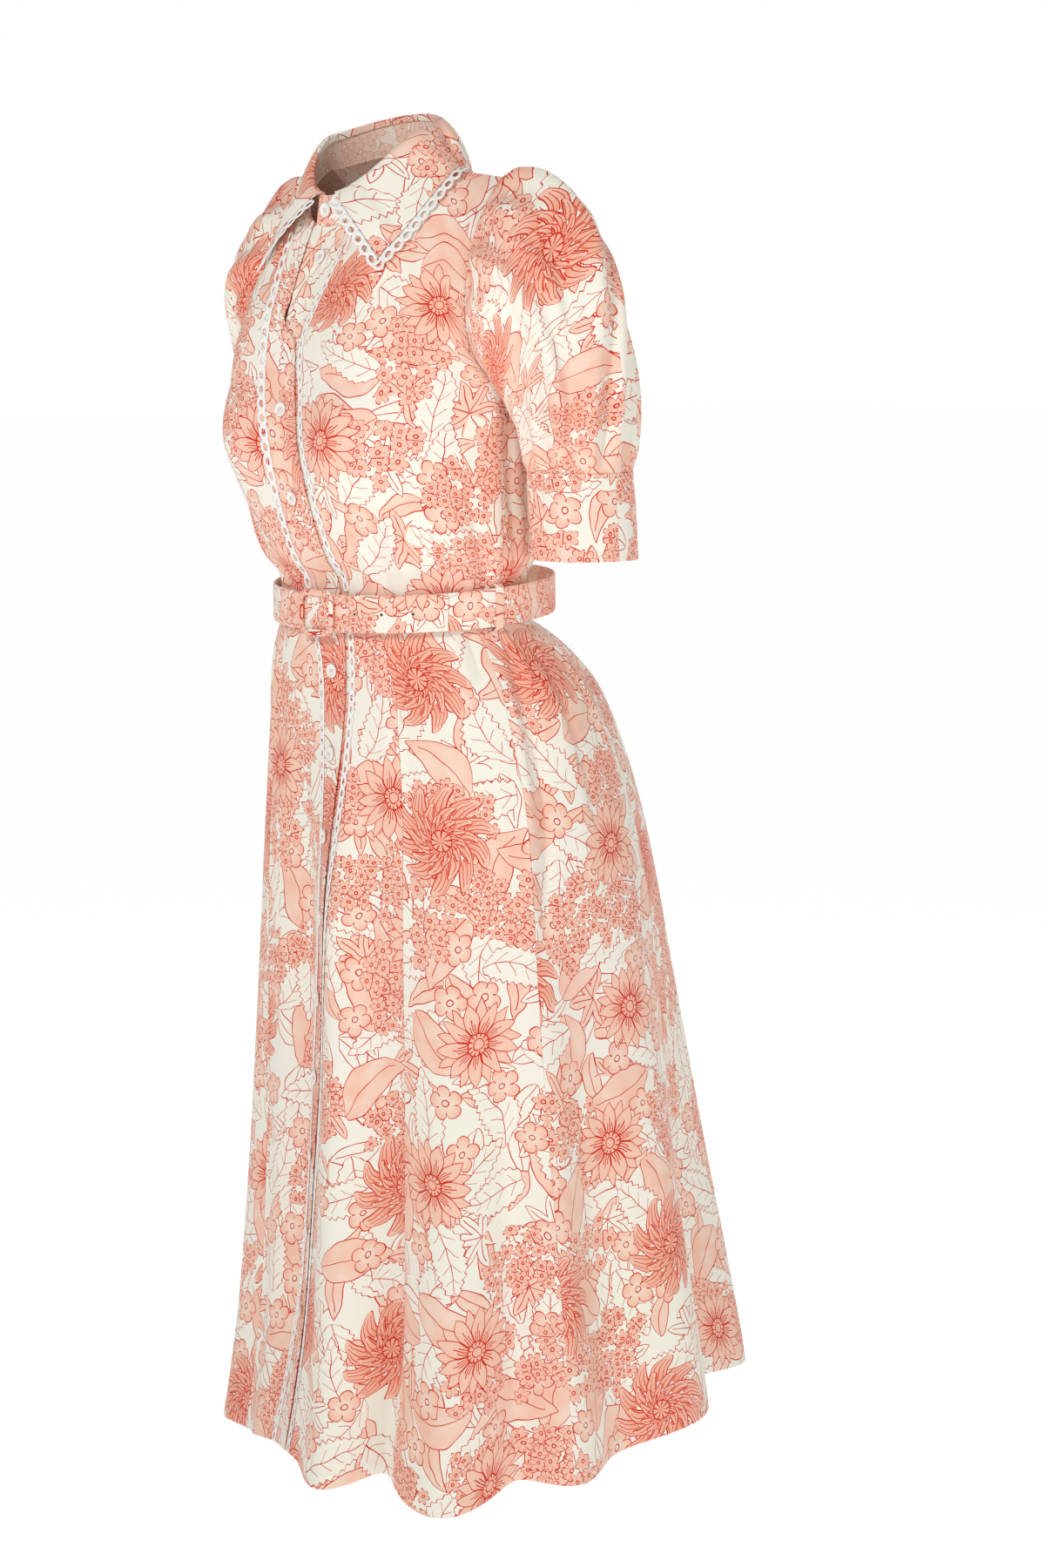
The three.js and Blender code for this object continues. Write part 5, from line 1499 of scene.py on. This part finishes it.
# %% Covered buckle
# A rounded frame wrapped in the dress cloth: an oval section swept round a rounded
# rectangle.
BUCKLE = dict(x=10, w=52, h=45, bar=6, t=3.6)


def place_on_belt(x, off):
    """Middle, across, up and outward directions of a flat thing on the belt's front."""
    phi = math.asin(x / BELT["a"])
    spot = belt_at(np.array([phi]), np.array([0.5]), np.array([off]))[0]
    out = unit(belt_at(np.array([phi]), np.array([0.5]), np.array([off + 1]))[0] - spot)
    up = unit(np.array([0, 0, 1.0]) - out * out[2])
    return spot, np.cross(up, out), up, out


def buckle_panel():
    spot, across, up, out = place_on_belt(BUCKLE["x"], TAIL_OUT + 0.3)
    half_w, half_h = (BUCKLE["w"] - BUCKLE["bar"]) / 2, (BUCKLE["h"] - BUCKLE["bar"]) / 2

    def at(U, V):
        turn, round_it = U * TAU, V * TAU
        c, s = np.cos(turn), np.sin(turn)
        x, y = half_w * spow(c, 0.34), half_h * spow(s, 0.34)
        wide = BUCKLE["bar"] / 2 + 0.1
        high = BUCKLE["t"] / 2 - 0.1
        away = unit(vec(spow(c, 0.8) / half_w, spow(s, 0.8) / half_h, 0))
        x = x + away[..., 0] * wide * spow(np.cos(round_it), 0.8)
        y = y + away[..., 1] * wide * spow(np.cos(round_it), 0.8)
        z = BUCKLE["t"] / 2 + high * spow(np.sin(round_it), 0.8)
        return spot + x[..., None] * across + y[..., None] * up + z[..., None] * out

    return at


def tube_ring(name, at, around, across, shift):
    """A closed ring of cloth: rows run round the section, columns round the ring."""
    u, v = np.meshgrid(np.arange(around) / around, np.arange(across) / across)
    points = at(u, v) / 1000
    i, j = np.meshgrid(np.arange(across), np.arange(around), indexing="ij")
    i, j = i.ravel(), j.ravel()
    i2, j2 = (i + 1) % across, (j + 1) % around
    faces = np.stack([i * around + j, i * around + j2, i2 * around + j2, i2 * around + j], 1)
    long = np.linalg.norm(np.diff(points[0], axis=0), axis=-1).mean()
    wide = np.linalg.norm(np.diff(points[:, 0], axis=0), axis=-1).mean()
    corners = ((0, 0), (1, 0), (1, 1), (0, 1))
    cell = np.stack([np.stack([(j + a) * long, (i + b) * wide], -1) for a, b in corners], 1)
    piece = new_piece(name, points.reshape(-1, 3).tolist(), faces.tolist())
    layer = piece.data.uv_layers.new(name="cloth")
    layer.data.foreach_set("uv", (cell + np.array(shift)).reshape(-1))
    shade_smooth(piece)
    piece.data.materials.append(cloth)
    outward_faces(piece)
    return piece


buckle = tube_ring("buckle_cover_cloth", buckle_panel(), 144, 20, (17.4, 0.6))
fix(buckle, "belt_buckle")
print("buckle faces:", len(buckle.data.polygons))

# %% [markdown]
# ## Buttons and eyelets
# The buttons are white shirt buttons with a raised rim, a dished middle and four holes
# sewn in two bars. One is modelled at the origin from a disc, as a turner would: it is
# extruded and scaled ring by ring, and drilled with four cylinders. It is then copied to
# the seat of each round solid of the frame, whose middle and outward direction are read
# from its points.

# %% Button and thread finishes
def plastic_finish():
    """Milky shell-like plastic: faint clouds and a soft gloss."""
    made, shader = finish_base("shirt_button", 0.28)
    cloud = noise(object_place(), 260.0)
    plug(3.0, cloud.inputs["Detail"])
    two_tone(cloud.outputs[0], srgb(238, 232, 226), srgb(252, 250, 247), shader, 0.3, 0.7)
    bump(cloud.outputs[0], 0.15, 0.0004, shader)
    return made


def thread_finish(name, low, high):
    """Twisted sewing thread."""
    made, shader = finish_base(name, 0.8, 0.1)
    ply = noise(object_place(), 2400.0).outputs[0]
    two_tone(ply, low, high, shader)
    bump(ply, 0.4, 0.0002, shader)
    return made


button_white = plastic_finish()
thread_pink = thread_finish("thread_pink", srgb(214, 150, 140), srgb(240, 190, 178))
thread_cream = thread_finish("thread_cream", srgb(226, 214, 196), srgb(248, 242, 230))
print("finishes:", [m.name for m in (button_white, thread_pink, thread_cream)])

# %% One button and its thread
BUTTON_RINGS = table(
    "r z",
    (5.6, -1.2), (6.7, -0.8), (7.0, -0.1), (6.85, 0.75), (6.3, 1.15), (5.6, 1.2), (5.0, 0.95),
    (4.5, 0.45), (3.6, 0.3))
HOLE_AT, HOLE_R = 1.35, 0.62


def turned(name, rings, count):
    """A disc that is extruded and scaled from ring to ring, as a turner's work grows."""
    radii, levels = rings["r"], rings["z"]
    bpy.ops.object.select_all(action="DESELECT")
    bpy.ops.mesh.primitive_circle_add(vertices=count, radius=radii[0], fill_type="TRIFAN", location=(0, 0, 0))
    piece = bpy.context.object
    piece.name = name
    bpy.ops.object.mode_set(mode="EDIT")
    bpy.ops.mesh.select_all(action="SELECT")
    bpy.ops.transform.translate(value=(0, 0, levels[0]))
    for k in range(1, len(radii)):
        climb, grow = levels[k] - levels[k - 1], radii[k] / radii[k - 1]
        bpy.ops.mesh.extrude_region_move(TRANSFORM_OT_translate={"value": (0, 0, climb)})
        bpy.ops.transform.resize(value=(grow, grow, 1))
    bpy.ops.mesh.select_all(action="SELECT")
    bpy.ops.mesh.normals_make_consistent(inside=False)
    bpy.ops.object.mode_set(mode="OBJECT")
    return piece


def tube_along(points, radius, sides=6):
    """Vertices and faces of a closed round tube along points."""
    points = np.asarray(points, float)
    along = unit(np.gradient(points, axis=0))
    aside = unit(np.cross(along, np.array([0.13, 0.21, 0.97])))
    ang = (np.arange(sides) / sides * TAU)[None, :, None]
    ringed = points[:, None] + radius * (np.cos(ang) * aside[:, None]
                                         + np.sin(ang) * np.cross(aside, along)[:, None])
    n = len(points)
    faces = []
    for first in range(0, (n - 1) * sides, sides):
        for k in range(sides):
            a, b = first + k, first + (k + 1) % sides
            faces.append((a, b, b + sides, a + sides))
    faces += [tuple(range(sides))[::-1], tuple((n - 1) * sides + k for k in range(sides))]
    return ringed.reshape(-1, 3), faces


def mesh_of(name, parts, finish):
    """One object in metres from several (vertices in mm, faces)."""
    verts, faces, count = [], [], 0
    for v, f in parts:
        verts.append(np.asarray(v) / 1000)
        faces += [tuple(q + count for q in face) for face in f]
        count += len(v)
    piece = new_piece(name, np.concatenate(verts).tolist(), faces)
    shade_smooth(piece)
    piece.data.materials.append(finish)
    return piece


pattern = turned("button_pattern", BUTTON_RINGS, 40)
for sx in (-1, 1):
    for sy in (-1, 1):
        bpy.ops.mesh.primitive_cylinder_add(vertices=12, radius=HOLE_R, depth=6,
                                            location=(sx * HOLE_AT, sy * HOLE_AT, 0))
        drill = bpy.context.object
        cut = pattern.modifiers.new("hole", "BOOLEAN")
        cut.object, cut.operation, cut.solver = drill, "DIFFERENCE", "EXACT"
        bpy.ops.object.select_all(action="DESELECT")
        bpy.context.view_layer.objects.active = pattern
        pattern.select_set(True)
        bpy.ops.object.modifier_apply(modifier="hole")
        bpy.data.objects.remove(drill, do_unlink=True)
button_points = np.array([v.co for v in pattern.data.vertices])
button_faces = [tuple(f.vertices) for f in pattern.data.polygons]
bpy.data.objects.remove(pattern, do_unlink=True)
bar_turn = np.linspace(0, math.pi, 7)
SEWN = []
for sx in (-1, 1):
    bar = vec(np.full(7, sx * HOLE_AT), -HOLE_AT * np.cos(bar_turn), 0.05 + 0.55 * np.sin(bar_turn))
    SEWN.append(tube_along(bar, 0.3))
print("button faces:", len(button_faces))

# %% Buttons on their seats
def seat(node):
    """Middle, across, up and outward directions of a round flat solid of the frame, mm."""
    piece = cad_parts[node]
    p = np.array([piece.matrix_world @ v.co for v in piece.data.vertices]) * 1000
    middle = p.mean(0)
    out = np.linalg.eigh(np.cov((p - middle).T))[1][:, 0]
    out = out * np.sign(np.dot(out, middle * (1, 1, 0) - (0, 20, 0)))
    up = unit(np.array([0, 0, 1.0]) - out * out[2])
    return middle, np.cross(up, out), up, out


button_nodes = sorted(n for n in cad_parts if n.startswith("button_") and "band" not in n)
for node in button_nodes:
    middle, across, up, out = seat(node)
    basis = np.stack([across, up, out])
    made = mesh_of(f"{node}_shell", [(button_points @ basis + middle, button_faces)], button_white)
    shade_smooth(made, 38)
    fix(made, node)
    sewn = mesh_of(f"{node}_thread", [(v @ basis + middle, f) for v, f in SEWN], thread_pink)
    fix(sewn)
print("buttons:", len(button_nodes))

# %% Buttonholes and eyelets
holes = []
for node in button_nodes:
    if node in ("button_stand", "button_neck"):
        continue
    middle, across, up, out = seat(node)
    t = np.linspace(0, TAU, 29)
    worked = vec(1.0 * np.cos(t), 8.6 * spow(np.sin(t), 0.7), -1.15)
    holes.append(tube_along(worked @ np.stack([across, up, out]) + middle, 0.42, 5))
fix(mesh_of("buttonhole_thread", holes, thread_cream))

EYELETS = (30.5, 58, 86, 113)           # x of each, mm
rims, eyelet_shadow_discs = [], []
for x in EYELETS:
    spot, across, up, out = place_on_belt(x, TAIL_OUT)
    t = np.linspace(0, TAU, 25)
    basis = np.stack([across, up, out])
    rims.append(tube_along(vec(1.7 * np.cos(t), 1.7 * np.sin(t), 0.1) @ basis + spot, 0.35, 5))
    # a dark disc a little way down each eyelet is painted shadow in the hole
    disc = vec(1.5 * np.cos(t[:-1]), 1.5 * np.sin(t[:-1]), 0.12) @ basis + spot
    lower = disc - out * 0.5
    n = len(disc)
    eyelet_shadow_discs.append((np.concatenate([disc, lower]), [tuple(range(n)), tuple(range(2 * n - 1, n - 1, -1))] +
                  [(k, n + k, n + (k + 1) % n, (k + 1) % n) for k in range(n)]))
# the discs' dark brown is painted shade, not a colour of the belt or its eyelets
painted_shadow_finish, painted_shadow_shader = finish_base("eyelet_shadow", 0.9)
two_tone(noise(None, 900.0).outputs[0], srgb(58, 40, 38), srgb(96, 70, 64), painted_shadow_shader)
for name, shapes, finish in (("eyelet_thread", rims, thread_cream), ("eyelet_painted_shadow", eyelet_shadow_discs, painted_shadow_finish)):
    fix(mesh_of(name, shapes, finish))
print("buttonholes:", len(holes), "eyelets:", len(rims))

# %% [markdown]
# ## Stitching
# Rows of machine stitches hold the band edges, cuffs, collar, belt and hem. They could be
# bump, but a row catches the light at the dress's edges, so each stitch is a short thread
# that dips into the cloth at both ends. All rows are one mesh.

# %% Stitch rows
def stitch_row(points, normals, length=2.1, gap=0.9, radius=0.17):
    """Stitches along a line of points on the cloth."""
    run = np.concatenate([[0], np.cumsum(np.linalg.norm(np.diff(points, axis=0), axis=1))])
    starts = np.arange(0.5, run[-1] - length, length + gap)
    at = (starts[:, None] + np.array([0, 0.25, 0.75, 1.0]) * length).ravel()
    ups = unit(curve_line(run, normals, at))
    spots = curve_line(run, points, at) + ups * np.tile([-0.15, 0.12, 0.12, -0.15], len(starts))[:, None]
    aside = unit(np.cross(ups, curve_line(run, points, at + 0.5) - curve_line(run, points, at - 0.5)))
    ang = (np.arange(4) / 4 * TAU + 0.4)[None, :, None]
    ringed = spots[:, None] + radius * (np.cos(ang) * aside[:, None] * 1.2 + np.sin(ang) * ups[:, None])
    faces = []
    for first in range(0, len(starts) * 16, 16):        # four rings of four points a stitch
        for b in (first, first + 4, first + 8):
            faces += [(b + q, b + (q + 1) % 4, b + 4 + (q + 1) % 4, b + 4 + q) for q in range(4)]
        faces += [tuple(first + q for q in (3, 2, 1, 0)), tuple(first + q for q in (12, 13, 14, 15))]
    return ringed.reshape(-1, 3), faces


def on_grid(place, us, vs, off):
    """Points and normals along a line given by two lists of measures."""
    us, vs = np.asarray(us, float)[:, None], np.asarray(vs, float)[:, None]
    low, high = place(us, vs, off)[:, 0], place(us, vs, off + 1.0)[:, 0]
    return low, unit(high - low)


stitched = []
for surface, place, V in ((body, body_cloth, np.linspace(0.95, 0.03, 170)[:, None]),
                          (skirt, skirt_at, np.linspace(0.05, 0.995, 260)[:, None])):
    for key, shift, lifted in (("edgeR", -1.8, True), ("seamR", -4.4, True), ("seamL", 4.4, False)):
        phi = line_at(surface, key, V, shift)
        low = place(phi, V, np.full(phi.shape, CLOTH), lifted)[:, 0]
        high = place(phi, V, np.full(phi.shape, CLOTH + 1), lifted)[:, 0]
        stitched.append(stitch_row(low, unit(high - low)))
turn_share = np.linspace(0, 1, 260)
for side in (1, -1):
    for level in (0.06, 0.94):
        stitched.append(stitch_row(*on_grid(cuff_at(side), turn_share, np.full(260, level), 1.7)))
    leaf_share = np.linspace(0.02, 0.99, 160)
    stitched.append(stitch_row(*on_grid(leaf_panel(side), leaf_share, np.full(160, 0.955), CLOTH)))
for level in (0.09, 0.91):
    stitched.append(stitch_row(*on_grid(belt_panel, turn_share, np.full(260, level), BELT["t"])))
    tail_share = np.linspace(0.05, 0.99, 120)
    stitched.append(stitch_row(*on_grid(tail_panel, tail_share, np.full(120, level), TAIL_OUT)))
HEM_ROW = 0.984
for side in (1, -1):
    for _, start, end, _ in GORES:
        hem_line = on_grid(gore(side, start, end), np.linspace(0.01, 0.99, 90), np.full(90, HEM_ROW), CLOTH)
        stitched.append(stitch_row(*hem_line))
hem_line = on_grid(back_gore, np.linspace(0.005, 0.995, 180), np.full(180, HEM_ROW), CLOTH)
stitched.append(stitch_row(*hem_line))
stitches = mesh_of("stitching_thread", stitched, thread_cream)
fix(stitches)
print("stitching faces:", len(stitches.data.polygons))
